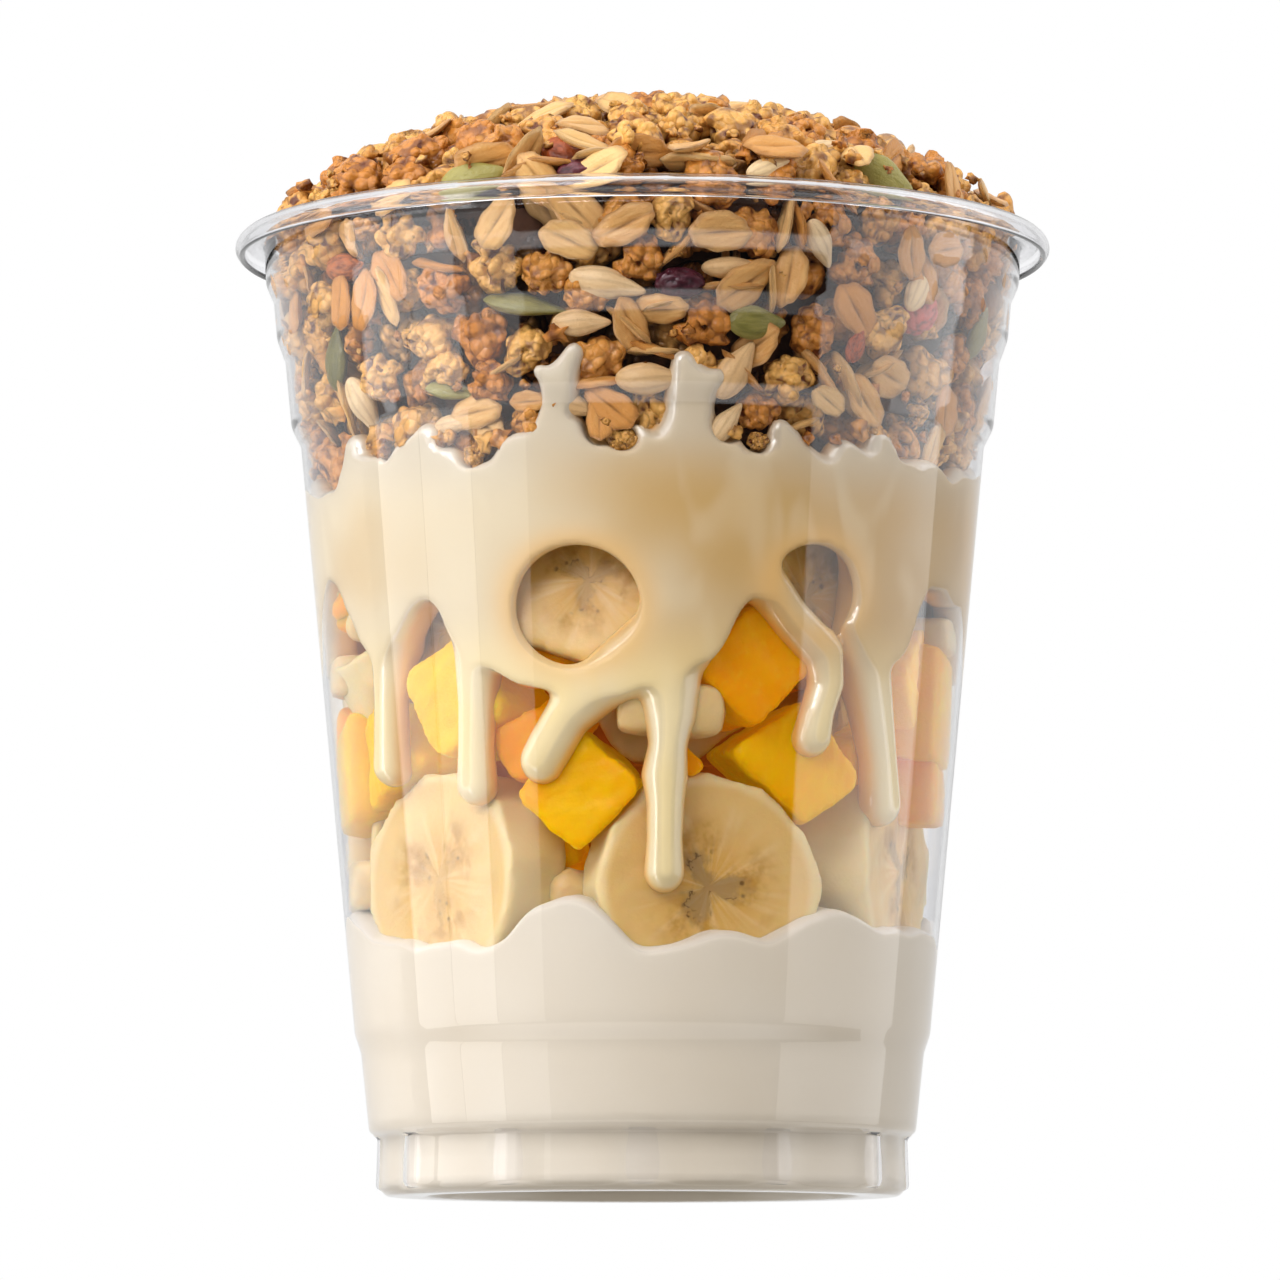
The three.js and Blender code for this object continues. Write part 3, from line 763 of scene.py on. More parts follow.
class Volume:
    """Turns a distance field on a grid round the wall into a closed surface."""

    CORNERS = [(i, j, k) for i in (0, 1) for j in (0, 1) for k in (0, 1)]
    EDGES = [(a, b) for a in range(8) for b in range(a + 1, 8)
             if bin(a ^ b).count("1") == 1]

    def __init__(self, turns: int, heights: Array, depths: Array) -> None:
        """Lays out the grid.

        Args:
            turns: how many steps go round the cup.
            heights: the grid's heights.
            depths: the grid's depths behind the inside of the wall.
        """
        self.turns = np.arange(turns) * 360 / turns - 180
        self.heights = heights
        self.depths = depths

    def grid(self) -> tuple[Array, Array, Array]:
        """Gives the turn, height and depth of every grid point."""
        return np.meshgrid(self.turns, self.heights, self.depths, indexing="ij")

    def surface(self, values: Array) -> Surface:
        """Finds the surface where the field is zero.

        Args:
            values: the field, below zero inside, on the grid.

        Returns:
            The surface, with its faces pointing out.
        """
        field_values = values.copy()
        field_values[:, (0, -1), :] = 1.0
        field_values[:, :, (0, -1)] = 1.0
        wrapped = np.concatenate([field_values, field_values[:1]], axis=0)
        inside = wrapped < 0
        cell = [slice(0, -1), slice(1, None)]
        count = sum(inside[cell[i], cell[j], cell[k]].astype(np.int8) for i, j, k in self.CORNERS)
        mixed = (count > 0) & (count < 8)
        where = np.argwhere(mixed)
        corner = np.stack([wrapped[where[:, 0] + i, where[:, 1] + j, where[:, 2] + k]
                           for i, j, k in self.CORNERS], axis=1)
        offsets = np.array(self.CORNERS, float)
        total = np.zeros((len(where), 3))
        hits = np.zeros(len(where))
        for a, b in self.EDGES:
            crossing = (corner[:, a] < 0) != (corner[:, b] < 0)
            share = corner[:, a] / np.where(crossing, corner[:, a] - corner[:, b], 1)
            spot = offsets[a] + share[:, None] * (offsets[b] - offsets[a])
            total += spot * crossing[:, None]
            hits += crossing
        spots = where + total / hits[:, None]
        number = np.full(mixed.shape, -1)
        number[mixed] = np.arange(len(where))
        faces = self._faces(inside, number)
        turn = np.interp(spots[:, 0], np.arange(len(self.turns) + 1), np.append(self.turns, 180))
        height = np.interp(spots[:, 1], np.arange(len(self.heights)), self.heights)
        depth = np.interp(spots[:, 2], np.arange(len(self.depths)), self.depths)
        return Surface(at(turn, FORM.room(height) - depth, height), faces, {"sunk": depth})

    @staticmethod
    def _faces(inside: Array, number: Array) -> list:
        """Joins the points of four cells round each grid edge that crosses the surface."""
        quads = []
        turns = number.shape[0]
        for axis in range(3):
            low = [slice(None)] * 3
            high = [slice(None)] * 3
            low[axis], high[axis] = slice(0, -1), slice(1, None)
            first, second = inside[tuple(low)], inside[tuple(high)]
            for flip in (False, True):
                edge = np.argwhere((first & ~second) if not flip else (~first & second))
                if axis != 0:
                    edge = edge[edge[:, 0] < turns]
                others = [other for other in range(3) if other != axis]
                ring = []
                for step_a, step_b in ((0, 0), (1, 0), (1, 1), (0, 1)):
                    cell = edge.copy()
                    cell[:, others[0]] -= step_a
                    cell[:, others[1]] -= step_b
                    cell[:, 0] %= turns
                    ring.append(number[cell[:, 0], cell[:, 1], cell[:, 2]])
                quad = np.stack(ring, axis=1)
                outward = flip != (axis == 1)
                quads.append(quad[:, ::-1] if outward else quad)
        return np.concatenate(quads).tolist()


@dataclass
class Cup:
    """The clear cup: stepped wall, rolled rim, recessed floor and fluted foot."""

    segments: int = 312
    flutes: int = 12
    flute_depth: float = 0.6
    flute_low: float = 0.9
    flute_top: float = 7.3
    flute_reach: float = 28.0
    corner: float = 0.45
    corner_steps: int = 3
    weld: float = 0.002
    rim_steps: int = 26
    rim_sweep: float = 232.0

    def rounded(self, outline: list[tuple[float, float]]) -> list[tuple[float, float]]:
        """Rounds the corners of an outline with small curves.

        Args:
            outline: points as (radius, height).

        Returns:
            The outline with a short curve at every inner corner.
        """
        result = [outline[0]]
        for before, here, after in zip(outline, outline[1:], outline[2:]):
            back = np.subtract(before, here)
            ahead = np.subtract(after, here)
            reach = min(self.corner, 0.4 * np.hypot(*back), 0.4 * np.hypot(*ahead))
            start = here + back / np.hypot(*back) * reach
            end = here + ahead / np.hypot(*ahead) * reach
            for share in np.linspace(0, 1, self.corner_steps + 1):
                curve = (1 - share) ** 2 * start + 2 * share * (1 - share) * np.array(here) + share ** 2 * end
                result.append((float(curve[0]), float(curve[1])))
        return result + [outline[-1]]

    def inside(self) -> list[tuple[float, float]]:
        """The inside from the floor's middle, down into the hollow ring and up to the neck."""
        side = [(radius - FORM.wall, height) for radius, height in FORM.outside[6:]]
        return [(0, 2.2), (25.0, 2.2), (26.1, 0.65), (30.2, 0.65), (30.75, 1.2), (30.6, 7.0)] + side

    def rim(self, inset: float, steps: int) -> list[tuple[float, float]]:
        """The roll of the rim, from the inside over the top and down the outside."""
        angles = math.pi - np.radians(np.linspace(0, self.rim_sweep, steps))
        across, up = FORM.rim_across - inset, FORM.rim_up - inset
        return [(FORM.rim_middle + across * math.cos(a), FORM.rim_height + up * math.sin(a)) for a in angles]

    def outline(self) -> list[tuple[float, float]]:
        """The whole closed outline, from the underside's middle round to the floor's middle."""
        outside = self.rounded(list(FORM.outside[:-1]) + [self.rim(FORM.wall, 2)[0]])
        under = self.rim(FORM.wall, self.rim_steps // 2)[1:]
        over = self.rim(0, self.rim_steps)[::-1]
        inside = self.rounded(self.inside())[::-1]
        return outside + under + over + inside

    def tree(self) -> bpy.types.GeometryNodeTree:
        """Builds the nodes that turn the outline round the axis and press in the flutes.

        Returns:
            The node tree, with named inputs for its sizes.
        """
        nodes = Grower("turned_cup", Segments="Int", Stations="Int", Flutes="Int", Flute_Depth="Float",
                       Flute_Top="Float", Flute_Reach="Float", Finish="Material")
        step, times, given = nodes.step, nodes.times, nodes.given.outputs
        segments, stations = given["Segments"], given["Stations"]
        grid = nodes.add("GeometryNodeMeshGrid", Vertices_X=step("ADD", segments, 1.0), Vertices_Y=stations)
        index = nodes.add("GeometryNodeInputIndex").outputs[0]
        row = step("FLOOR", step("DIVIDE", step("ADD", index, 0.5), stations))
        station = step("SUBTRACT", index, times(row, stations))
        place = nodes.add("GeometryNodeInputPosition").outputs["Position"]
        read = nodes.add("GeometryNodeSampleIndex", data_type="FLOAT_VECTOR", Geometry=given["Geometry"],
                         Value=place, Index=station)
        reach, height, _ = nodes.split(read.outputs["Value"])
        turn = times(step("DIVIDE", row, segments), 2 * math.pi)
        wave = step("ABSOLUTE", step("COSINE", times(turn, times(given["Flutes"], 0.5))))
        rib = step("SUBTRACT", step("POWER", wave, 7.0), 0.5)
        low = step("LESS_THAN", height, given["Flute Top"])
        high = step("GREATER_THAN", height, self.flute_low * MM)
        out = step("GREATER_THAN", reach, given["Flute Reach"])
        push = times(times(rib, given["Flute Depth"]), times(low, times(high, out)))
        pressed = step("ADD", reach, push)
        spot = nodes.add("ShaderNodeCombineXYZ", X=times(pressed, step("SINE", turn)),
                         Y=times(pressed, times(step("COSINE", turn), -1.0)), Z=height)
        move = nodes.add("GeometryNodeSetPosition", Geometry=grid.outputs["Mesh"],
                         Position=spot.outputs["Vector"])
        weld = nodes.add("GeometryNodeMergeByDistance", Distance=self.weld * MM, Geometry=move.outputs["Geometry"])
        return nodes.finish(weld.outputs["Geometry"])

    def build(self) -> None:
        """Makes the cup and lets it stand for its solid."""
        outline = self.outline()
        mesh = bpy.data.meshes.new("cup_outline")
        mesh.from_pydata([(radius * MM, height * MM, 0) for radius, height in outline],
                         [(i, i + 1) for i in range(len(outline) - 1)], [])
        maker = place_object("cup_outline", mesh, None)
        sizes = {"Segments": self.segments, "Stations": len(outline), "Flutes": self.flutes,
                 "Flute Depth": self.flute_depth * MM, "Flute Top": self.flute_top * MM,
                 "Flute Reach": self.flute_reach * MM, "Finish": ClearPlastic().material()}
        result = grown(maker, self.tree(), sizes, "clear_cup")
        outward(result)
        dress(place_object("clear_cup", result, None), "clear_plastic", "cup")


def taken(maker: bpy.types.Object, name: str, layers: bool) -> bpy.types.Mesh:
    """Keeps the finished mesh of an object with live modifiers, and removes the object.

    Args:
        maker: the object.
        name: the mesh's name.
        layers: whether the mesh keeps its attributes.

    Returns:
        The finished mesh, with nothing live on it.
    """
    graph = bpy.context.evaluated_depsgraph_get()
    mesh = bpy.data.meshes.new_from_object(maker.evaluated_get(graph), preserve_all_data_layers=layers,
                                           depsgraph=graph)
    mesh.name = name
    bpy.data.objects.remove(maker)
    smoothed(mesh)
    return mesh


def grown(maker: bpy.types.Object, tree: bpy.types.GeometryNodeTree, sizes: dict[str, object],
          name: str) -> bpy.types.Mesh:
    """Runs a node tree on an object and keeps the mesh alone.

    Args:
        maker: the object that the tree starts from, which is removed.
        tree: the geometry nodes.
        sizes: values for the tree's inputs, by name.
        name: the mesh's name.

    Returns:
        The finished mesh, with nothing live on it.
    """
    modifier = maker.modifiers.new("grow", "NODES")
    modifier.node_group = tree
    for item in tree.interface.items_tree:
        if item.item_type == "SOCKET" and item.in_out == "INPUT" and item.name in sizes:
            modifier[item.identifier] = sizes[item.name]
    return taken(maker, name, True)


def signed_volume(mesh: bpy.types.Mesh) -> float:
    """Gives a closed mesh's volume, below zero when its faces point in."""
    mesh.calc_loop_triangles()
    corners = np.zeros(len(mesh.loop_triangles) * 3, np.int32)
    mesh.loop_triangles.foreach_get("vertices", corners)
    a, b, c = points_of(mesh)[corners.reshape(-1, 3)].transpose(1, 0, 2)
    return float(np.einsum("ij,ij->", a, np.cross(b, c)) / 6)


def outward(mesh: bpy.types.Mesh) -> None:
    """Turns a closed mesh's faces outwards if they point in."""
    if signed_volume(mesh) < 0:
        mesh.flip_normals()


YOGURT_LINE = WallLine((
    (-76, 33.5), (-62, 29.8), (-47, 29.0), (-30, 28.4), (-20, 33.0), (-9, 34.2), (-2, 27.6), (5, 28.0),
    (12, 29.6), (21, 30.0), (27, 28.6), (31, 31.4), (37, 32.8), (51, 31), (70, 31.5), (86, 30), (96, 34),
    (112, 29.6), (128, 29), (141, 33.8), (156, 29), (172, 28.6), (188, 34), (204, 30), (222, 28.8),
    (240, 34.4), (258, 31),
))
CREAM_EDGE = WallLine((
    (-87, 61), (-71, 72), (-54, 62), (-41, 68.5), (-31, 61), (-22, 57.5), (-8, 56.5), (4, 57.5), (11, 60),
    (20, 67.7), (27, 67.5), (38, 65.5), (45, 61), (52, 62), (61, 71), (74, 69), (88, 61), (101, 71),
    (115, 62), (129, 70), (143, 60), (157, 71.5), (171, 61), (185, 69), (199, 62), (213, 71), (227, 60),
    (244, 70), (258, 66),
))
CREAM_TOP = WallLine((
    (-67, 83.8), (-56, 86.4), (-40, 86.8), (-28, 84.4), (-20, 87), (-14, 92), (-8, 87.4), (2, 86.6), (9, 90.5),
    (18, 85.8), (28, 84.9), (44, 86.4), (62, 85.2), (84, 87), (104, 84.4), (126, 88.2), (146, 85), (168, 87.4),
    (190, 84.6), (212, 88), (236, 85.2), (260, 86.6), (278, 84.8),
))


@dataclass
class Yogurt:
    """The white layer: it fills the cup from the floor to a wavy line, a little rounded at the wall."""

    turns: int = 300
    floor: float = 2.1
    base: Marks = ((12, 2.1), (24.9, 2.1), (26.0, 0.55), (30.2, 0.55), (30.86, 1.15), (30.8, 2.0))
    into_wall: float = 0.12
    lip: float = 1.3
    middle: float = 32.6
    bumps: Ripple = Ripple(11, 9.0)

    def surface(self) -> Surface:
        """Makes the layer as rings from the floor's middle up the wall and back to the top's middle."""
        turn = np.arange(self.turns) * 360 / self.turns
        line = np.mean([YOGURT_LINE.height(turn + nudge) for nudge in np.linspace(-3.5, 3.5, 7)], axis=0)
        line = line + 0.45 * Ripple(5, 6.0).at(at(turn, 34.0, 30.0))
        rows = [(np.full_like(turn, reach), np.full_like(turn, level)) for reach, level in self.base]
        wall_levels = np.array([4.0, 6.95, 7.7, 9.0, 12.0, 15.0, 16.6, 17.6, 18.6, 19.6])
        for level in wall_levels:
            reach = 30.62 if level <= 7.0 else float(FORM.room(level))
            rows.append((np.full_like(turn, reach + self.into_wall), np.full_like(turn, level)))
        for share in np.linspace(0.08, 1, 22):
            level = wall_levels[-1] + (line - self.lip - wall_levels[-1]) * share
            rows.append((FORM.room(level) + self.into_wall, level))
        for angle in np.radians(np.linspace(12, 90, 8)):
            level = line - self.lip + self.lip * math.sin(angle)
            rows.append((FORM.room(level) + self.into_wall - self.lip * 1.5 * (1 - math.cos(angle)), level))
        for share in np.linspace(0.06, 0.98, 34):
            reach = (FORM.room(line) - 1.9) * (1 - share)
            level = line + (self.middle - line) * eased(0.0, 0.45, share)
            level = level + 0.5 * self.bumps.at(at(turn, reach, level)) * eased(0.0, 0.1, share)
            rows.append((reach, level))
        points = np.concatenate([at(turn, reach, level) for reach, level in rows])
        count = len(rows)
        low, high = np.array([[0, 0, self.floor]]), np.array([[0, 0, self.middle]])
        faces = ring_faces(count, self.turns)
        bottom, top = len(points), len(points) + 1
        for i in range(self.turns):
            j = (i + 1) % self.turns
            faces.append((bottom, j, i))
            faces.append((top, (count - 1) * self.turns + i, (count - 1) * self.turns + j))
        return Surface(np.concatenate([points, low, high]), faces)

    def build(self) -> None:
        """Makes the yogurt and lets it stand for its solid."""
        mesh = self.surface().mesh("white_yogurt")
        outward(mesh)
        dress(place_object("white_yogurt", mesh, YogurtFinish().material()), "yogurt", "yogurt")


def ring_faces(rows: int, around: int) -> list[tuple[int, ...]]:
    """Joins rows of points that each go all the way round.

    Args:
        rows: how many rows there are.
        around: how many points each row has.

    Returns:
        The four-sided faces between the rows.
    """
    return [(row * around + i, row * around + (i + 1) % around,
             (row + 1) * around + (i + 1) % around, (row + 1) * around + i)
            for row in range(rows - 1) for i in range(around)]


@dataclass(frozen=True)
class Window:
    """A round hole in the cream, with half its width and half its height."""

    turn: float
    height: float
    across: float
    up: float


class Scoop(NamedTuple):
    """Room for a piece half sunk in the cream: its middle, half width and half height in photo pixels."""

    x: float
    y: float
    across: float
    up: float


@dataclass
class Cream:
    """The custard cream: a sheet on the wall with windows and folds, and the drips that run down from it."""

    blend: float = 1.5
    into_wall: float = 0.14
    lip: float = 1.7
    thickness: float = 4.2
    front: float = 1.2
    fold: float = 66
    windows: tuple[Window, ...] = (
        Window(-11.6, 66.8, 7.4, 6.7), Window(31.5, 68.9, 5.9, 5.2), Window(157, 67.5, 6.6, 6.2),
    )
    drips: tuple[Route, ...] = (
        ((-53, 69, 5), (-54.6, 62, 2.7), (-55.4, 57, 2.0), (-56.6, 52, 2.1), (-57.3, 49.6, 2.3)),
        ((-31.6, 68, 6), (-32.4, 62, 3.2), (-32.8, 56, 2.3), (-33.4, 51, 2.2), (-33.9, 46.8, 2.5)),
        ((4.5, 67, 7.5), (4.6, 61, 5.0), (5.0, 57.6, 4.0), (5.2, 54.4, 3.4), (4.8, 50.8, 2.4), (4.3, 47.4, 2.9),
         (4.4, 44, 2.3), (4.3, 40, 2.2), (4.3, 36.4, 2.5)),
        ((45, 68, 5.5), (47.5, 61, 3.4), (49.6, 56, 2.7), (52, 50.5, 2.25), (54.4, 45.0, 2.5)),
    )
    crossings: tuple[Route, ...] = (
        ((3, 62.5, 4.5), (-3, 60.2, 3.7), (-8.9, 57.4, 3.3), (-14.2, 54.4, 2.8), (-18.0, 50.8, 2.8),
         (-19.6, 49.2, 2.7)),
        ((20.5, 71.5, 2.8), (28, 65.8, 2.4), (35.6, 61.8, 2.6), (36.4, 58.5, 2.2), (34.6, 55, 2.1),
         (34.0, 52.3, 2.4)),
    )
    scoops: tuple[Scoop, ...] = (
        Scoop(474, 413, 34, 17), Scoop(452, 424, 20, 14), Scoop(599, 420, 19, 26), Scoop(571, 408, 22, 14),
        Scoop(650, 379, 44, 18), Scoop(727, 424, 22, 20), Scoop(762, 416, 24, 18), Scoop(357, 412, 17, 34),
        Scoop(623, 438, 17, 13), Scoop(680, 450, 14, 13), Scoop(691, 462, 12, 12), Scoop(760, 442, 12, 11),
        Scoop(343, 446, 12, 14), Scoop(384, 440, 9, 22), Scoop(468, 452, 13, 16), Scoop(884, 440, 15, 22),
        Scoop(901, 452, 9, 12), Scoop(962, 432, 10, 22), Scoop(830, 402, 20, 14), Scoop(430, 408, 22, 12),
        Scoop(528, 402, 20, 12), Scoop(700, 404, 10, 12), Scoop(806, 424, 14, 12), Scoop(926, 420, 14, 14),
    )
    back_turns: tuple[float, ...] = (101, 119, 143, 171, 199, 227, 257)
    back_lengths: tuple[float, ...] = (17, 13, 22, 18, 11, 20, 15)
    back_widths: tuple[float, ...] = (2.3, 2.1, 2.5, 2.2, 2.1, 2.4, 2.2)
    splashes: tuple[Route, ...] = (
        ((-15.4, 84.5, 4.4), (-14.6, 88.0, 2.2), (-13.6, 91.2, 1.9), (-12.4, 93.6, 1.7), (-11.0, 95.4, 1.2)),
        ((-13.6, 91.2, 1.8), (-15.2, 92.6, 1.2), (-16.6, 93.4, 0.8)),
        ((7.0, 83.5, 6.2), (7.6, 87.6, 3.6), (8.0, 90.6, 2.9), (7.2, 92.8, 2.3), (6.6, 94.2, 1.5)),
        ((8.0, 90.6, 2.6), (10.2, 91.8, 1.8), (12.0, 92.6, 1.1)),
        ((27, 83.5, 3.6), (25.0, 85.8, 2.2), (23.8, 87.0, 1.4)),
        ((-41, 83.5, 3.6), (-39.5, 86.6, 2.2)), ((-60, 83.5, 3.2), (-58.4, 86.8, 2.0)),
        ((46, 83.5, 3.4), (44.4, 86.4, 2.0)), ((120, 83.5, 4.0), (122, 87.8, 1.8)),
        ((196, 83.5, 3.8), (194, 87.6, 1.8)),
    )

    def routes(self) -> list[Route]:
        """The drips at the front, then those at the back in the same rhythm."""
        routes = list(self.drips)
        for i, (turn, length, width) in enumerate(zip(self.back_turns, self.back_lengths, self.back_widths)):
            start, end, lean = self.fold, self.fold - length, 1.4 if i % 2 else -1.2
            routes.append(((turn, start + 3, width * 2.4), (turn + lean * 0.3, start - 3, width * 1.4),
                           (turn + lean * 0.7, (start + end) / 2, width * 0.92), (turn + lean, end, width)))
        return routes

    def sheet(self, turn: Array, height: Array, depth: Array) -> Array:
        """Distance from the sheet: above its lower edge, below its top edge, outside its windows."""
        reach = FORM.room(height)
        wander = 0.35 * Ripple(21, 6.0).at(at(turn, reach, height))
        inner = eased(3.0, 9.0, depth)
        edge = CREAM_EDGE.height(turn) + (self.fold - CREAM_EDGE.height(turn)) * inner
        top = CREAM_TOP.height(turn) + 0.8 * Ripple(22, 5.0).at(at(turn, reach, height)) * (1 - inner)
        flat = np.maximum((edge - height) * 0.82, (height - top) * 0.9) + wander
        thick = self.thickness + Ripple(23, 16.0).at(at(turn, reach, height))
        front = self.front - 1.1 * eased(7.0, 1.0, CREAM_TOP.height(turn) - height)
        middle, half = (thick - front) / 2, (thick + front) / 2
        out_flat, out_deep = flat + self.lip, np.abs(depth - middle) - half + self.lip
        return (np.hypot(np.maximum(out_flat, 0), np.maximum(out_deep, 0))
                + np.minimum(np.maximum(out_flat, out_deep), 0) - self.lip)

    def cut(self, values: Array, turn: Array, height: Array, depth: Array) -> Array:
        """Opens the windows, their rims sharp above and rounded towards the wall below."""
        reach = FORM.room(height)
        for window in self.windows:
            low = eased(0.3, -0.8, (height - window.height) / window.up)
            flare = 0.9 * eased(1.5, -0.3, depth) * (0.2 + 0.8 * low)
            arc = np.radians(off(turn, window.turn)) * reach
            flare = flare + 1.8 * eased(0.8, 3.2, depth)
            wide, tall = window.across + flare, window.up + flare
            hole = (1 - np.hypot(arc / wide, (height - window.height) / tall)) * min(window.across, window.up)
            values = smooth_most(values, hole, 0.8)
        return values

    @staticmethod
    def strand(turn: Array, height: Array, depth: Array, start: Sequence[float],
               end: Sequence[float], sink: float) -> Array:
        """Distance from a tapering round strand between two stations of turn, height and half width."""
        reach = FORM.room(height)
        arc = np.radians(off(turn, start[0])) * reach
        run = np.radians(end[0] - start[0]) * float(FORM.room(end[1]))
        along = np.array([run, end[1] - start[1]])
        share = np.clip((arc * along[0] + (height - start[1]) * along[1]) / (along @ along), 0, 1)
        half = start[2] + (end[2] - start[2]) * share
        deep = np.minimum(half, 3.1)
        away = np.hypot(arc - share * along[0], height - start[1] - share * along[1])
        flatter = np.hypot(away / half, (depth - deep * sink) / deep)
        return (flatter - 1) * np.minimum(half, deep)

    def surface(self) -> Surface:
        """Joins the sheet, drips and splashes in one field and finds its surface."""
        depths = np.concatenate([[-0.5, -self.into_wall], np.arange(0.2, 4.4, 0.34), np.arange(4.6, 7.6, 0.6),
                                 [8.4, 9.6, 11.4, 13.5, 15.0]])
        volume = Volume(540, np.arange(31.0, 99.5, 0.5), depths)
        turn, height, depth = volume.grid()
        field_values = self.sheet(turn, height, depth)
        for route in self.routes():
            field_values = self.join(volume, field_values, route, 0.97)
        field_values = self.cut(field_values, turn, height, depth)
        field_values = self.scooped(volume, field_values)
        for route in self.crossings + self.splashes:
            field_values = self.join(volume, field_values, route, 0.94)
        field_values = np.maximum(field_values, -(depth + self.into_wall))
        skin = volume.surface(field_values)
        skin.values["warm"] = self.warmth(skin.points)
        return skin

    def warmth(self, points: Array) -> Array:
        """How near points are to a window's rim, where the cream is thin and lets warm light through."""
        turn = turn_of(points)
        warm = np.zeros(len(points))
        for window in self.windows:
            arc = np.radians(off(turn, window.turn)) * FORM.room(points[:, 2])
            away = (np.hypot(arc / window.across, (points[:, 2] - window.height) / window.up) - 1) * window.up
            warm = np.maximum(warm, np.exp(-(away / 2.2) ** 2))
        return warm

    def join(self, volume: Volume, values: Array, route: Route, sink: float) -> Array:
        """Melts a run of strands into the field, working only on the turns near it.

        Args:
            volume: the grid.
            values: the field.
            route: the stations that the strands run between.
            sink: how far in the strands' middles are, as a share of their half depth.

        Returns:
            The same field, changed.
        """
        marks = [station[0] for station in route]
        middle = (min(marks) + max(marks)) / 2
        span = (max(marks) - min(marks)) / 2 + 16
        near = np.abs(off(volume.turns, middle)) < span
        turn, height, depth = (part[near] for part in volume.grid())
        drip = np.full(turn.shape, 9.0)
        for start, end in zip(route, route[1:]):
            drip = np.minimum(drip, self.strand(turn, height, depth, start, end, sink))
        values[near] = smooth_least(values[near], drip, self.blend)
        return values

    def scooped(self, volume: Volume, values: Array) -> Array:
        """Leaves room at the wall for the pieces that lie half sunk along the cream's top."""
        turn, height, depth = volume.grid()
        for x, y, across, up in self.scoops:
            spot = CAMERA.meets(x, y, lambda points: FORM.room(points[..., 2]) - np.hypot(*points.T[:2]))
            middle = float(turn_of(spot))
            near = np.abs(volume.turns - middle) < 12
            arc = np.radians(turn[near] - middle) * FORM.room(height[near])
            wide = across / PIXELS_PER_MM / max(0.4, math.cos(math.radians(middle)))
            tall, deep = up / PIXELS_PER_MM, 3.4
            ball_share = np.sqrt((arc / wide) ** 2 + ((height[near] - spot[2]) / tall) ** 2
                                 + (depth[near] / deep) ** 2)
            values[near] = smooth_most(values[near], (1 - ball_share) * min(wide, tall), 0.7)
        return values

    def build(self) -> None:
        """Makes the cream and lets it stand for its solid."""
        mesh = self.surface().mesh("custard_cream")
        outward(mesh)
        dress(place_object("custard_cream", mesh, CreamFinish().material()), "custard_cream", "cream")


@dataclass(frozen=True)
class Chunk:
    """A cut piece of fruit: where it stands behind the wall and how it is turned, as its solid is."""

    turn: float
    height: float
    size: tuple[float, float, float]
    back: float
    yaw: float = 0.0
    tilt: float = 0.0
    roll: float = 0.0
    tone: float = 0.5

    def axes(self) -> Array:
        """The piece's own right, up and out directions as columns."""
        turned = Euler((0, 0, math.radians(self.turn + self.yaw))).to_matrix()
        tipped = Euler((math.radians(90 - self.tilt), 0, 0)).to_matrix()
        rolled = Euler((0, 0, math.radians(self.roll))).to_matrix()
        return np.array(turned @ tipped @ rolled)

    def local(self, points: Array, middle: Array) -> Array:
        """Turns points into the piece's own coordinates, from -1 to 1 across it."""
        return (points - middle) @ self.axes() / (np.array(self.size) / 2)


def banana(turn: float, height: float, across: float, back: float, **turned: float) -> Chunk:
    """A banana slice nine millimetres thick."""
    return Chunk(turn, height, (across, across, 9.0), back, **turned)


def mango(turn: float, height: float, size: tuple[float, float, float], back: float, **turned: float) -> Chunk:
    """A mango cube."""
    return Chunk(turn, height, size, back, **turned)


BANANAS = (
    banana(14, 34.7, 27, 0.8, tone=1.0), banana(-47.9, 36.2, 26.2, 0.7, roll=40, tone=0.1),
    banana(70.5, 38, 26, 0.8, roll=15, tone=0.9),
    banana(-91, 37.2, 26.5, 0.9, roll=65), banana(117, 35.6, 27, 0.8, roll=30), banana(163, 37, 26, 0.8, roll=10),
    banana(211, 35.2, 27.4, 0.8, roll=52), banana(43, 36.4, 23, 5.5, yaw=50),
    banana(-10.5, 69.4, 22, 2.9, tilt=8, roll=20), banana(34, 68.6, 24, 3.1, yaw=8, roll=50),
    banana(-43, 65.4, 22, 4, yaw=-8), banana(46, 57.6, 20, 5, yaw=20), banana(-78, 64, 25, 8.5, tilt=62),
    banana(5, 54.6, 22, 13.5, tilt=84), banana(86, 69, 24, 3.2, yaw=-6), banana(118, 62.5, 25, 8.5, tilt=65),
    banana(157, 67.5, 24, 3, roll=30), banana(190, 62, 25, 8.8, tilt=70), banana(226, 68, 24, 3.2, yaw=12),
    banana(249, 62.6, 24, 8.6, tilt=66),
)
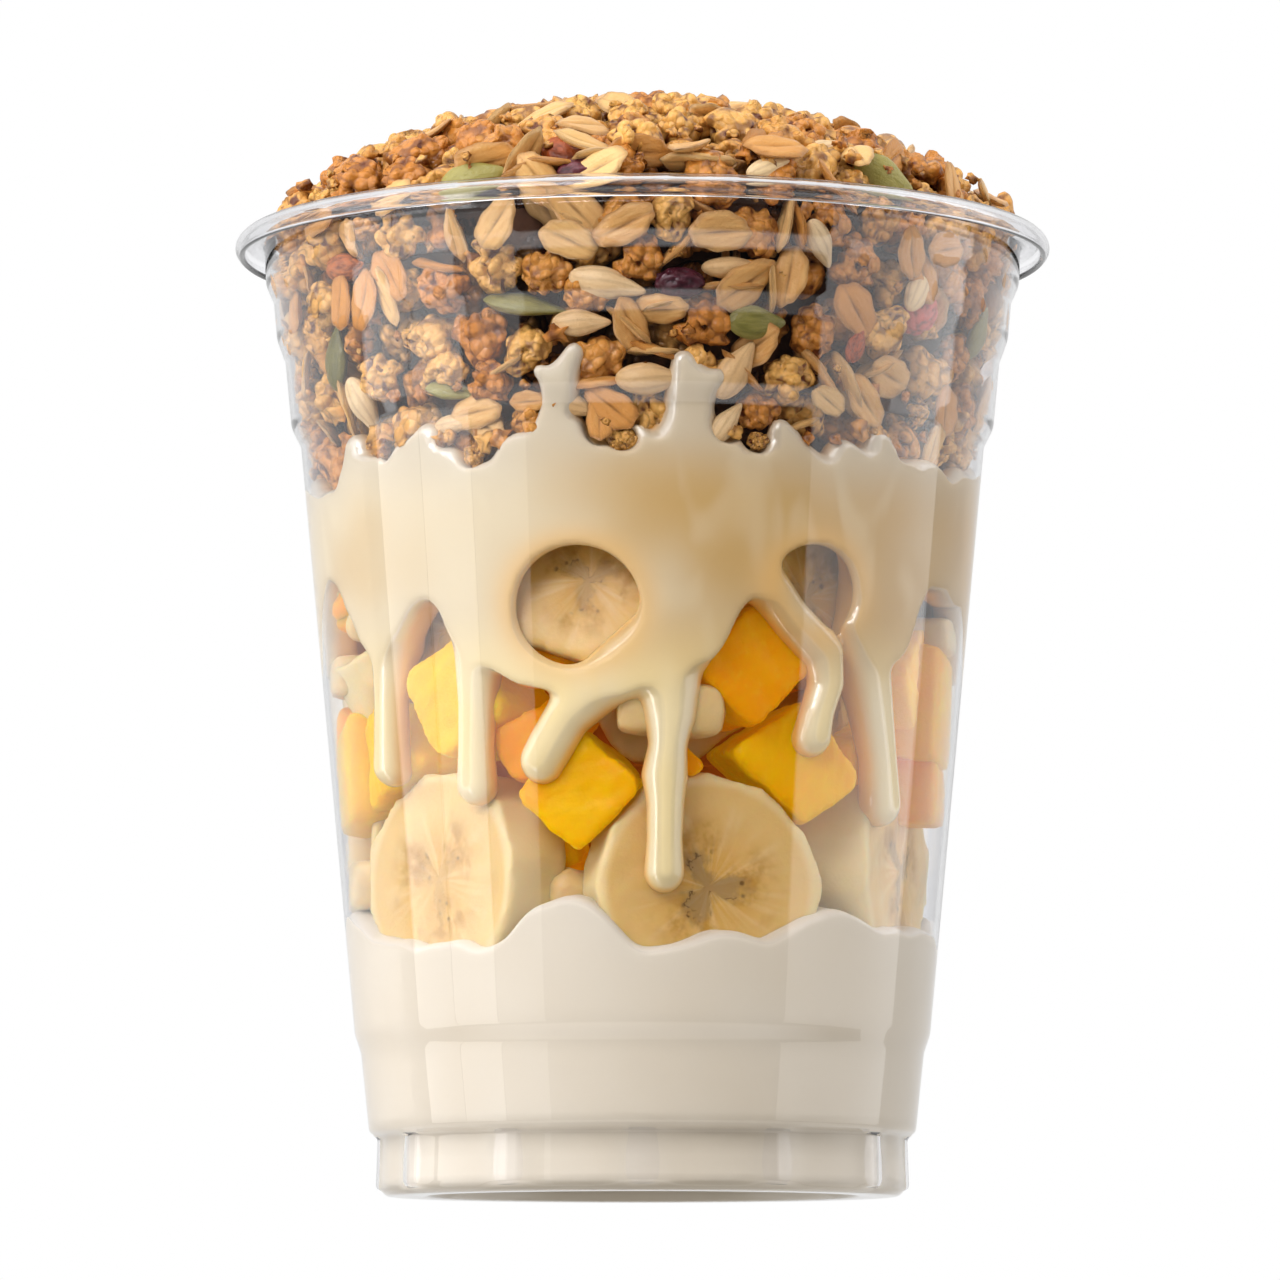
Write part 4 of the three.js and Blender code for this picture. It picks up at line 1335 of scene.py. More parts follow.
MANGOES = (
    mango(-12.6, 45.7, (10.8, 11, 11.5), 1.5, roll=48, tone=0.35),
    mango(-40, 57.4, (11, 11.8, 10.5), 1.5, roll=30, tone=0.2),
    mango(22, 60.3, (11.2, 10.4, 11), 1.5, roll=46, tone=0.7),
    mango(34.5, 48.6, (12.4, 12, 12), 1.5, roll=34, yaw=-16, tone=0.3),
    mango(-67.5, 50.4, (11.8, 11.6, 11), 1.5, roll=42, tone=0.15),
    mango(-25.5, 54.4, (11, 12, 10), 3.4, roll=28, yaw=14, tone=0.85),
    mango(72, 59.4, (12, 11.4, 11), 1.5, roll=40, tone=0.4), mango(59, 49.6, (10.5, 10.5, 11), 3.4, roll=22),
    mango(93, 51.4, (11.6, 12, 11), 1.5, roll=46, tone=0.3), mango(105, 61, (11, 11.5, 10.5), 1.5, roll=24),
    mango(126, 50.6, (12, 11.2, 11.5), 1.5, roll=38, tone=0.65), mango(142, 58.6, (11.4, 11, 11), 1.5, roll=52),
    mango(166, 54, (12, 11.6, 11), 1.5, roll=30, tone=0.2), mango(187, 48.2, (11, 11.4, 11), 1.5, roll=45),
    mango(206, 57.8, (11.8, 11, 11), 1.5, roll=35, tone=0.7), mango(229, 52.4, (11.2, 12, 11), 1.5, roll=48),
    mango(247, 49.6, (11, 11, 11), 2.4, roll=20, tone=0.3), mango(266, 56.2, (11.6, 11.2, 11), 1.5, roll=42),
)

# Offcuts that fill the places beside and between the pieces above, pressed to the wall
BANANA_OFFCUTS = (
    banana(5.6, 55.2, 12.4, 2.0, roll=-3), banana(-84, 36.5, 12, 0.3), banana(-99, 41, 11, 0.3),
    banana(-83, 61.5, 10, 0.4), banana(79, 66, 9, 0.5),
)
MANGO_OFFCUTS = (
    mango(-79, 49.5, (10, 13, 6), 0.3, roll=14, tone=0.2), mango(-96, 54, (10, 9, 6), 0.4),
    mango(75, 57.5, (10, 14, 6), 0.3, roll=-8, tone=0.4), mango(77, 47.5, (9, 8, 6), 0.3, tone=0.6),
    mango(-21, 61, (7, 6, 6), 4.4, tone=0.9),
)


@dataclass
class Fruit:
    """The banana slices and mango cubes, each grown from its solid, and the syrup between them."""

    nodes: dict[str, bpy.types.Object]

    def softened(self, node: str, name: str, grid: float, rounds: int) -> bpy.types.Mesh:
        """Copies a solid as a fine even mesh with soft edges.

        Args:
            node: the solid's name.
            name: the new mesh's name.
            grid: the size of the fine mesh's faces, in millimetres.
            rounds: how often the mesh is smoothed.

        Returns:
            The mesh, in place.
        """
        maker = bpy.data.objects.new(name, self.nodes[node].data.copy())
        bpy.context.scene.collection.objects.link(maker)
        weld = maker.modifiers.new("weld", "WELD")
        weld.merge_threshold = 0.01 * MM
        remesh = maker.modifiers.new("even", "REMESH")
        remesh.mode, remesh.voxel_size = "VOXEL", grid * MM
        smooth = maker.modifiers.new("soften", "SMOOTH")
        smooth.factor, smooth.iterations = 0.6, rounds
        mesh = taken(maker, name, False)
        mesh.materials.clear()
        return mesh

    @staticmethod
    def relief(mesh: bpy.types.Mesh, amount: Callable[[Array], Array]) -> Array:
        """Pushes a mesh's points along their normals.

        Args:
            mesh: the mesh to change.
            amount: gives the push in millimetres for points in millimetres.

        Returns:
            The points before the push, in millimetres.
        """
        normals = np.zeros(len(mesh.vertices) * 3, np.float32)
        mesh.vertex_normals.foreach_get("vector", normals)
        places = points_of(mesh) / MM
        pushed = places + normals.reshape(-1, 3) * amount(places)[:, None]
        depth = FORM.room(pushed[:, 2]) - np.hypot(pushed[:, 0], pushed[:, 1])
        pull = np.maximum(0.03 - depth, 0)[:, None]
        pushed[:, :2] -= pushed[:, :2] / np.hypot(pushed[:, 0], pushed[:, 1])[:, None] * pull
        mesh.vertices.foreach_set("co", (pushed * MM).ravel())
        mesh.update()
        return places

    def slice(self, number: int, chunk: Chunk, finish: bpy.types.Material) -> None:
        """Makes one banana slice."""
        name = f"banana_{number}"
        mesh = self.softened(name, f"banana_slice_{number}", 0.6, 4)
        wave = Ripple(40 + number, 5.0)
        places = self.relief(mesh, lambda points: 0.16 * wave.at(points))
        own = chunk.local(places, self.middle(chunk, banana_reach(chunk)))
        turn = np.arctan2(own[:, 1], own[:, 0])
        reach = np.hypot(own[:, 0], own[:, 1])
        rays = np.stack([np.cos(turn) * 5, np.sin(turn) * 5, reach * 1.2 + number * 9], axis=1)
        carry(mesh, {"slice_u": own[:, 0], "slice_v": own[:, 1], "slice_w": own[:, 2], "rays": rays,
                     "tone": np.full(len(places), chunk.tone)})
        dress(place_object(f"banana_slice_{number}", mesh, finish), "banana", name)

    def cube(self, number: int, chunk: Chunk, finish: bpy.types.Material) -> None:
        """Makes one mango cube, its fibres running one way."""
        name = f"mango_{number}"
        mesh = self.softened(name, f"mango_cube_{number}", 0.5, 6)
        wave, fibre = Ripple(70 + number, 3.6), Ripple(90 + number, 1.1, 20)
        rng = np.random.default_rng(number)
        lie = np.array(Euler(rng.uniform(0, 3, 3)).to_matrix())
        squeeze = np.array([0.25, 1.0, 1.0])
        places = self.relief(mesh, lambda points: 0.14 * wave.at(points) + 0.06 * fibre.at(points @ lie * squeeze))
        tone = np.full(len(places), chunk.tone)
        carry(mesh, {"tone": tone, "grain": places @ lie * squeeze * 1.1 + number * 7})
        dress(place_object(f"mango_cube_{number}", mesh, finish), "mango", name)

    @staticmethod
    def middle(chunk: Chunk, reach: float) -> Array:
        """The middle of a piece whose axis distance is known."""
        return at(chunk.turn, reach, chunk.height)

    def scraps(self, flesh: bpy.types.Material, ripe: bpy.types.Material) -> None:
        """Fills the gaps behind and beside the cut fruit with small scraps of both."""
        rng = np.random.default_rng(12)
        unit, unit_faces = ball(3)
        chunks = [(chunk, self.middle(chunk, banana_reach(chunk))) for chunk in BANANAS]
        chunks += [(chunk, self.middle(chunk, mango_reach(chunk))) for chunk in MANGOES]
        for name, slot, finish, count, offcuts in (("banana_scraps", "banana", flesh, 70, BANANA_OFFCUTS),
                                                   ("mango_scraps", "mango", ripe, 230, MANGO_OFFCUTS)):
            points, faces, tones = [], [], []
            for chunk in offcuts:
                half = np.array(chunk.size) / 2 * (1, 0.5, 0.7) if finish is flesh else np.array(chunk.size) / 2
                shape = np.sign(unit) * np.abs(unit) ** 0.36 * half
                shape = shape * (1 + 0.05 * Ripple(int(rng.integers(1e6)), 4.0, 6).at(shape))[:, None]
                reach = float(FORM.room(chunk.height)) - chunk.back - half[2]
                shape = shape @ chunk.axes().T + self.middle(chunk, reach)
                past = np.hypot(shape[:, 0], shape[:, 1]) / (FORM.room(shape[:, 2]) - 0.1)
                shape[:, :2] /= np.maximum(past, 1)[:, None]
                faces.append(unit_faces + len(unit) * len(points))
                tones.append(np.full(len(unit), chunk.tone))
                points.append(shape)
            while len(points) < count:
                turn, level, size = rng.uniform(-180, 180), rng.uniform(32, 74), rng.uniform(1.6, 3.2)
                depth = size + rng.uniform(0.6, 12)
                inward = at(turn, float(FORM.room(level)) - depth - np.array([0, 3.0, 6.0]), level)
                spot = inward[0]
                clear = np.min([(np.abs(chunk.local(inward, middle)) * np.array(chunk.size) / 2
                                 - np.array(chunk.size) / 2).max(axis=1) for chunk, middle in chunks], axis=0)
                if clear[0] < size * 0.45 or (depth < 6 and clear[1:].min() < 0):
                    continue
                squash = rng.uniform(0.7, 1.25, 3)
                shape = np.sign(unit) * np.abs(unit) ** 0.7 * squash * size
                shape = shape * (1 + 0.1 * Ripple(int(rng.integers(1e6)), 3.0, 6).at(shape))[:, None]
                shape = shape @ np.array(Euler(rng.uniform(0, 6, 3)).to_matrix()) + spot
                faces.append(unit_faces + len(unit) * len(points))
                tones.append(np.full(len(unit), rng.uniform(0, 1)))
                points.append(shape)
            spots = np.concatenate(points)
            far = np.full(len(spots), 0.46)
            values = {"tone": np.concatenate(tones), "grain": spots * 0.8, "rays": spots * 0.3,
                      "slice_u": far, "slice_v": 0 * far, "slice_w": far + 0.36}
            mesh = Surface(spots, np.concatenate(faces).tolist(), values).mesh(name)
            dress(place_object(name, mesh, finish), slot)

    def build(self) -> None:
        """Makes all the fruit and finishes the syrup."""
        flesh = BananaFinish().material()
        for number, chunk in enumerate(BANANAS, 1):
            self.slice(number, chunk, flesh)
        ripe = MangoFinish().material()
        for number, chunk in enumerate(MANGOES, 1):
            self.cube(number, chunk, ripe)
        self.scraps(flesh, ripe)
        mesh = self.softened("fruit_syrup", "amber_syrup", 1.1, 3)
        dress(place_object("amber_syrup", mesh, SyrupFinish().material()), "fruit_syrup", "fruit_syrup")


def banana_reach(chunk: Chunk) -> float:
    """How far from the axis a banana slice's middle is."""
    half = (1 - math.sin(math.radians(chunk.tilt))) * chunk.size[0] / 2
    return math.sqrt(float(FORM.room(chunk.height)) ** 2 - half ** 2) - chunk.back - chunk.size[2] / 2


def mango_reach(chunk: Chunk) -> float:
    """How far from the axis a mango cube's middle is."""
    half = math.hypot(chunk.size[0], chunk.size[1]) / 2 - 0.55
    return math.sqrt(float(FORM.room(chunk.height)) ** 2 - half ** 2) - chunk.back - chunk.size[2] / 2


def ball(steps: int) -> tuple[Array, Array]:
    """Makes a ball of radius 1.

    Args:
        steps: how fine it is: 2 gives 80 faces and each further step four times as many.

    Returns:
        Its points and its three-sided faces.
    """
    work = bmesh.new()
    bmesh.ops.create_icosphere(work, subdivisions=steps, radius=1)
    points = np.array([vertex.co[:] for vertex in work.verts])
    faces = np.array([[vertex.index for vertex in face.verts] for face in work.faces])
    work.free()
    return points, faces


def spiral(count: int) -> Array:
    """Directions spread evenly over a ball."""
    level = 1 - 2 * (np.arange(count) + 0.5) / count
    angle = math.pi * (3 - math.sqrt(5)) * np.arange(count)
    flat = np.sqrt(1 - level ** 2)
    return np.stack([flat * np.cos(angle), flat * np.sin(angle), level], axis=1)


def flake(rng: np.random.Generator, half: Array) -> Surface:
    """Makes a rolled oat: thin, oval, creased along its length and a little bent.

    Args:
        rng: the source of its unevenness.
        half: half its length, width and thickness.

    Returns:
        The flake, its grain running lengthwise and its mark dark along the crease and edge.
    """
    steps = 12
    grid = np.linspace(-1, 1, steps + 1)
    s, t = np.meshgrid(grid, grid, indexing="ij")
    x, y = s * np.sqrt(1 - t * t / 2), t * np.sqrt(1 - s * s / 2)
    reach = np.hypot(x, y)
    angle = np.arctan2(y, x)
    phases = rng.uniform(0, 2 * math.pi, 4)
    edge = 1 + 0.06 * np.sin(2 * angle + phases[0]) + 0.05 * np.sin(3 * angle + phases[1])
    edge += 0.035 * np.sin(8 * angle + phases[2])
    x, y = x * edge, y * edge * (1 - 0.12 * x)
    puff = np.sqrt(np.clip(1 - reach ** 5, 0, 1))
    crease = np.exp(-(y / 0.07) ** 2) * np.clip(1.02 - np.abs(x), 0, 1) ** 0.7
    wave = 0.22 * np.sin(3.1 * x + phases[3]) * np.cos(2.3 * y + phases[2])
    bend = rng.uniform(-0.6, 0.9) * y ** 2 + rng.uniform(-0.4, 0.4) * x ** 2 + wave
    sheets, marks = [], []
    for sign in (1, -1):
        groove = crease * (0.5 if sign > 0 else 0.2)
        level = sign * (puff * 0.62 - groove * puff) + bend * 0.9
        sheets.append(np.stack([x * half[0], y * half[1], level * half[2]], axis=-1).reshape(-1, 3))
        marks.append((crease * 0.6 + 0.5 * eased(0.7, 1.0, reach)).ravel())
    points = np.concatenate(sheets)
    faces = []
    size = steps + 1
    for i in range(steps):
        for j in range(steps):
            a, b, c, d = i * size + j, (i + 1) * size + j, (i + 1) * size + j + 1, i * size + j + 1
            faces.append((a, b, c, d))
            faces.append(tuple(size * size + k for k in (d, c, b, a)))
    rim = [i * size for i in range(steps)] + [steps * size + j for j in range(steps)]
    rim += [i * size + steps for i in range(steps, 0, -1)] + [j for j in range(steps, 0, -1)]
    for a, b in zip(rim, rim[1:] + rim[:1]):
        faces.append((b, a, size * size + a, size * size + b))
    grain = points * np.array([0.35, 2.2, 1.0]) + rng.uniform(0, 40, 3)
    return Surface(points, faces, {"mark": np.concatenate(marks), "grain": grain})


def cluster(rng: np.random.Generator, half: Array, knobs: int = 34) -> Surface:
    """Makes a baked cluster: one skin drawn over many small stuck crumbs and broken flakes.

    Args:
        rng: the source of its unevenness.
        half: half its length, width and thickness.
        knobs: how many crumbs it has.

    Returns:
        The cluster, its mark painted dark in the crevices as shade.
    """
    unit, faces = ball(4)
    lump = Ripple(int(rng.integers(1e6)), 4.2, 6)
    base = (0.62 + 0.3 * lump.at(unit * half)) / np.linalg.norm(unit / (half - 0.8), axis=1)
    reach, face = base.copy(), np.full(len(unit), -0.4)
    for number, direction in enumerate(spiral(knobs)):
        direction = direction + rng.normal(0, 0.2, 3)
        direction /= np.linalg.norm(direction)
        broad = number % 5 == 0
        size = np.array((2.1, 1.4, 0.5) if broad else (1.35, 1.05, 0.85)) * rng.uniform(0.65, 1.2)
        spot = direction * (half - 0.9) * (0.74 + 0.34 * float(lump.at(direction * half)) + rng.uniform(0, 0.16))
        facing = direction + rng.normal(0, 0.15 if broad else 0.5, 3)
        frame = frame_on(facing / np.linalg.norm(facing), rng.normal(size=3))
        ray, start = unit @ frame / size, spot @ frame / size
        a, b, c = (ray ** 2).sum(axis=1), -(ray @ start), start @ start - 1
        root = b * b - a * c
        hit = np.where(root > 0, (-b + np.sqrt(np.maximum(root, 0))) / a, 0)
        higher = hit > reach
        edge = np.sqrt(np.maximum(root, 0)) / np.sqrt(a)
        face = np.where(higher, edge, face)
        reach = np.where(higher, hit, reach)
    points = unit * reach[:, None]
    # Painted shade: the mark is darkest where the knobs meet and the base shows between them, with a little random
    # tone.
    mark = 0.8 * eased(0.6, 0.0, face) + 0.12 * lump.at(points * 2)
    grain = points * 1.5 + rng.uniform(0, 40, 3)
    return Surface(points, faces.tolist(), {"mark": mark, "grain": grain})


def seed(rng: np.random.Generator, half: Array, tip: float = 0.55, stripes: int = 0,
         rim: float = 0.0, wrinkle: float = 0.0) -> Surface:
    """Makes a seed, nut or dried berry from a stretched ball.

    Args:
        rng: the source of its unevenness.
        half: half its length, width and thickness.
        tip: how pointed one end is.
        stripes: how many stripes run along it.
        rim: how light its edge is.
        wrinkle: how deep its wrinkles are, in millimetres.

    Returns:
        The seed, its mark giving stripes and its grain running lengthwise.
    """
    unit, faces = ball(4)
    x = unit[:, 0]
    narrow = 1 - tip * eased(-0.2, 1.0, x) * 0.75
    shape = np.stack([x * (1 + 0.1 * tip * eased(0.5, 1.0, x)), unit[:, 1] * narrow, unit[:, 2] * narrow], axis=1)
    flat = np.hypot(shape[:, 0], shape[:, 1])
    if rim:
        shape[:, 2] *= np.where(flat > 0.84, 0.55 + 0.45 * (1 - flat) / 0.16, 1.0)
    points = shape * half
    if wrinkle:
        fold = np.abs(Ripple(int(rng.integers(1e6)), 1.5, 10).at(points * np.array([0.6, 1, 1])))
        points = points - unit * (wrinkle * (1 - fold) ** 3)[:, None]
    mark = np.zeros(len(points))
    if stripes:
        mark = 0.5 + 0.5 * np.cos(stripes * np.arctan2(unit[:, 2], unit[:, 1]) + 2 * x)
        mark = 0.34 * eased(0.4, 0.95, mark)
    if rim:
        mark = -0.6 * eased(0.8, 0.9, flat) * rim + 0.4 * eased(0.55, 1.1, x)
    if wrinkle:
        mark = 0.8 * (1 - fold) ** 3
    grain = points * np.array([0.25, 1.6, 1.6]) + rng.uniform(0, 40, 3)
    return Surface(points, faces.tolist(), {"mark": mark, "grain": grain})


def crumb(rng: np.random.Generator, half: Array) -> Surface:
    """Makes one loose crumb."""
    unit, faces = ball(2)
    shape = unit * half * (1 + 0.5 * Ripple(int(rng.integers(1e6)), 0.9, 6).at(unit)[:, None])
    return Surface(shape, faces.tolist(), {"mark": rng.uniform(0, 0.4) + 0 * unit[:, 0],
                                           "grain": shape * 1.4 + rng.uniform(0, 40, 3)})


@dataclass(frozen=True)
class Sort:
    """A kind of thing in the granola."""

    toast: Toast
    half: tuple[float, float, float]
    shapes: int
    share: float
    make: Callable[..., Surface]
    extra: dict[str, float] = field(default_factory=dict)


class Kind(Enum):
    """All the kinds, with half sizes, the number of shapes of each and its share of the loose pieces."""

    OAT = Sort(Toast.OAT, (3.75, 2.35, 0.72), 12, 0.38, flake)
    CLUSTER = Sort(Toast.CLUSTER, (4.2, 3.4, 2.8), 10, 0.5, cluster)
    PUMPKIN = Sort(Toast.PUMPKIN, (4.8, 2.8, 1.2), 3, 0.03, seed, {"tip": 0.6, "rim": 1.0})
    SUNFLOWER = Sort(Toast.SUNFLOWER, (4.2, 2.0, 1.5), 4, 0.05, seed, {"tip": 0.6, "stripes": 9})
    ALMOND = Sort(Toast.ALMOND, (4.4, 2.5, 1.8), 3, 0.012, seed, {"tip": 0.6, "wrinkle": 0.25})
    BERRY = Sort(Toast.BERRY, (3.6, 2.3, 2.0), 3, 0.012, seed, {"tip": 0.1, "wrinkle": 0.5})
    REDBERRY = Sort(Toast.REDBERRY, (3.2, 2.5, 2.2), 2, 0.006, seed, {"tip": 0.1, "wrinkle": 0.4})
    CRUMB = Sort(Toast.CLUSTER, (0.8, 0.7, 0.6), 8, 0.0, crumb)


class Lie(Enum):
    """How a piece lies: face outwards, face towards the viewer, or on its edge."""

    FLAT = 0
    FACING = 1
    EDGE = 2


FLAT, FACING, EDGE = Lie

# Pieces read from the photo, by kind: pixel across, pixel down, angle of the long axis, lie, and size as a
# share of the kind's own
PHOTO_PIECES = (
    (Kind.OAT, ((495, 222, 52, FLAT, 0.95), (569, 241, -25, FLAT, 0.95), (563, 213, -30, EDGE, 0.9),
        (625, 224, 25, FLAT, 0.95), (362, 299, 60, FLAT, 0.9), (339, 302, 75, FLAT, 0.85),
        (428, 265, -10, EDGE, 1.0), (389, 274, -45, FLAT, 0.95), (599, 418, 90, FLAT, 0.66),
        (474, 412, 10, FLAT, 0.9), (499, 366, 30, EDGE, 0.9), (627, 322, -40, EDGE, 0.95),
        (722, 233, 0, FLAT, 1.0), (680, 248, 45, EDGE, 0.95), (793, 220, 75, EDGE, 0.9),
        (913, 255, -65, FLAT, 0.85), (858, 312, -50, FLAT, 1.0), (737, 284, 0, EDGE, 1.0),
        (654, 349, 0, EDGE, 0.85), (892, 364, 20, EDGE, 0.95), (831, 376, -50, EDGE, 1.15),
        (857, 383, -55, EDGE, 1.1), (482, 143, 15, EDGE, 1.0), (639, 133, 5, EDGE, 0.95),
        (702, 151, 0, EDGE, 1.1), (598, 147, 5, EDGE, 0.9), (540, 156, -8, EDGE, 0.95),
        (520, 166, 12, EDGE, 0.9), (590, 384, 5, EDGE, 0.9))),
    (Kind.CLUSTER, ((543, 272, 0, FLAT, 0.8), (586, 299, 0, FLAT, 0.75), (595, 361, 20, FLAT, 0.95),
        (418, 336, 0, FLAT, 0.95), (432, 370, 40, FLAT, 0.85), (517, 350, 60, FLAT, 0.85),
        (386, 233, 0, FLAT, 0.9), (487, 265, 0, FLAT, 0.95), (366, 377, 20, FLAT, 0.85),
        (474, 340, -50, FLAT, 0.95), (487, 384, 0, FLAT, 0.7), (712, 322, 0, FLAT, 0.9),
        (644, 258, 0, FLAT, 0.85), (838, 223, 0, FLAT, 0.85), (868, 263, 0, FLAT, 0.9),
        (823, 331, 90, FLAT, 0.9), (762, 411, 0, FLAT, 0.75), (967, 359, 60, FLAT, 0.8),
        (981, 298, 80, FLAT, 0.8), (333, 176, 0, FACING, 0.95), (387, 172, 20, FACING, 0.9),
        (430, 153, 10, FACING, 0.95), (684, 122, 0, FACING, 1.05), (736, 124, 0, FACING, 0.9),
        (829, 153, 30, FACING, 0.95), (865, 174, 0, FACING, 0.8), (938, 185, 0, FACING, 0.7),
        (978, 192, 20, FACING, 0.75), (625, 160, 0, FACING, 0.7), (603, 119, 70, FACING, 0.7),
        (304, 194, 0, FACING, 0.6), (458, 136, 0, FACING, 0.7))),
    (Kind.PUMPKIN, ((517, 310, -5, EDGE, 1.0), (331, 359, 80, FLAT, 0.8), (444, 396, 0, EDGE, 0.75),
        (758, 322, 0, FLAT, 0.75), (982, 336, 70, FLAT, 0.7), (462, 171, 15, FACING, 0.85),
        (899, 168, -22, FACING, 0.85))),
    (Kind.SUNFLOWER, ((605, 283, -12, FLAT, 1.0), (579, 322, 0, FLAT, 0.8), (650, 380, 0, FLAT, 1.0),
        (357, 410, -65, FLAT, 0.9), (738, 267, 0, EDGE, 0.9), (824, 246, -60, FLAT, 0.8),
        (738, 370, 55, FLAT, 0.95), (727, 424, 50, FLAT, 0.7), (698, 384, -60, FLAT, 0.5),
        (926, 288, 40, FLAT, 0.8), (772, 163, 20, FACING, 0.6), (824, 128, 35, FACING, 0.7),
        (571, 405, -20, FLAT, 0.7))),
    (Kind.ALMOND, ((338, 270, 15, FLAT, 0.75), (568, 126, -25, FACING, 0.9))),
    (Kind.BERRY, ((582, 162, 0, FACING, 0.95), (681, 283, 0, FLAT, 0.8))),
    (Kind.REDBERRY, ((930, 319, 20, FLAT, 0.95),)),
    (Kind.ALMOND, ((860, 345, 60, FLAT, 0.5),)),
    (Kind.CLUSTER, ((622, 438, 0, FLAT, 0.5), (678, 446, 40, FLAT, 0.36))),
    (Kind.CRUMB, ((684, 455, 40, FLAT, 1.3),)),
    (Kind.CLUSTER, ((690, 461, 0, FLAT, 0.34), (760, 441, 0, FLAT, 0.34))),
    (Kind.CRUMB, ((343, 443, 0, FLAT, 1.6), (340, 455, 0, FLAT, 1.2), (384, 432, 80, FLAT, 1.4),
        (381, 450, 80, FLAT, 1.1))),
    (Kind.CLUSTER, ((470, 454, 60, FLAT, 0.42), (882, 437, -60, FLAT, 0.5))),
    (Kind.CRUMB, ((900, 450, 0, FLAT, 1.5), (962, 424, 70, FLAT, 1.7), (962, 444, 70, FLAT, 1.3))),
    (Kind.SUNFLOWER, ((450, 424, 5, FLAT, 0.6),)),
    (Kind.OAT, ((528, 402, 10, FLAT, 0.6), (830, 402, -40, FLAT, 0.7), (806, 424, 20, EDGE, 0.6))),
    (Kind.CRUMB, ((700, 404, 0, FLAT, 1.3),)),
    (Kind.CLUSTER, ((926, 418, 20, FLAT, 0.5),)),
)


@dataclass
class Heap:
    """The granola's pieces, each a small group of balls, so that they can be pushed apart."""

    middles: Array
    axes: Array
    halves: Array
    fixed: Array
    relook: int = 8
    push: float = 0.35
    draw: float = 0.22
    furthest: float = 1.0

    PATTERN = np.array([(0, 0, 0), (1, 0, 0), (-1, 0, 0), (0, 1, 0), (0, -1, 0), (0.66, 0.66, 0), (-0.66, 0.66, 0),
                        (0.66, -0.66, 0), (-0.66, -0.66, 0), (0.5, 0, 0.8), (-0.5, 0, -0.8)])

    def balls(self) -> tuple[Array, Array]:
        """The middles of every piece's balls and the balls' radius for each piece."""
        radii = np.maximum(self.halves[:, 2] * 0.9, 0.55)
        spread = self.PATTERN * np.maximum(self.halves - radii[:, None], 0)[:, None, :]
        return self.middles[:, None] + np.einsum("nij,nkj->nki", self.axes, spread), radii

    def near(self) -> tuple[Array, Array]:
        """Pairs of pieces that are close enough to touch."""
        reach = self.halves[:, 0]
        apart = np.linalg.norm(self.middles[:, None] - self.middles[None], axis=2)
        close = apart < (reach[:, None] + reach[None]) + 0.8
        return np.nonzero(np.triu(close, 1))

    def settle(self, rounds: int, floor: Callable[[Array], Array]) -> None:
        """Pushes pieces apart, keeps them inside the skin and draws them out to it.

        Args:
            rounds: how many small steps to take.
            floor: gives how far points are above the cream.
        """
        for step in range(rounds):
            if step % self.relook == 0:
                first, second = self.near()
            spots, radii = self.balls()
            gap = spots[first][:, :, None] - spots[second][:, None]
            apart = np.linalg.norm(gap, axis=3).reshape(len(first), -1)
            nearest = apart.argmin(axis=1)
            row = np.arange(len(first))
            distance = apart[row, nearest]
            overlap = np.maximum(radii[first] + radii[second] - distance, 0)
            away = gap.reshape(len(first), -1, 3)[row, nearest] / np.maximum(distance, 1e-6)[:, None]
            push = away * (overlap * self.push)[:, None]
            move = np.zeros_like(self.middles)
            np.add.at(move, first, push)
            np.add.at(move, second, -push)
            slack = (SKIN.depth(spots) - radii[:, None]).min(axis=1)
            draw = np.where(slack < 0, slack, np.minimum(slack * 0.5, self.draw))
            move += SKIN.normal(self.middles) * draw[:, None]
            rise = (floor(spots) - radii[:, None] * 0.6).min(axis=1)
            move[:, 2] += np.maximum(-rise, 0) * 0.5
            move[self.fixed] = 0
            size = np.linalg.norm(move, axis=1, keepdims=True)
            self.middles += move * np.minimum(1, self.furthest / np.maximum(size, 1e-6))

    def worst(self) -> Array:
        """How far each loose piece still runs into another."""
        first, second = self.near()
        spots, radii = self.balls()
        gap = np.linalg.norm(spots[first][:, :, None] - spots[second][:, None], axis=3)
        overlap = radii[first] + radii[second] - gap.reshape(len(first), -1).min(axis=1)
        result = np.zeros(len(self.middles))
        np.maximum.at(result, second, overlap)
        np.maximum.at(result, first, overlap * self.fixed[second])
        return np.where(self.fixed, 0, result)


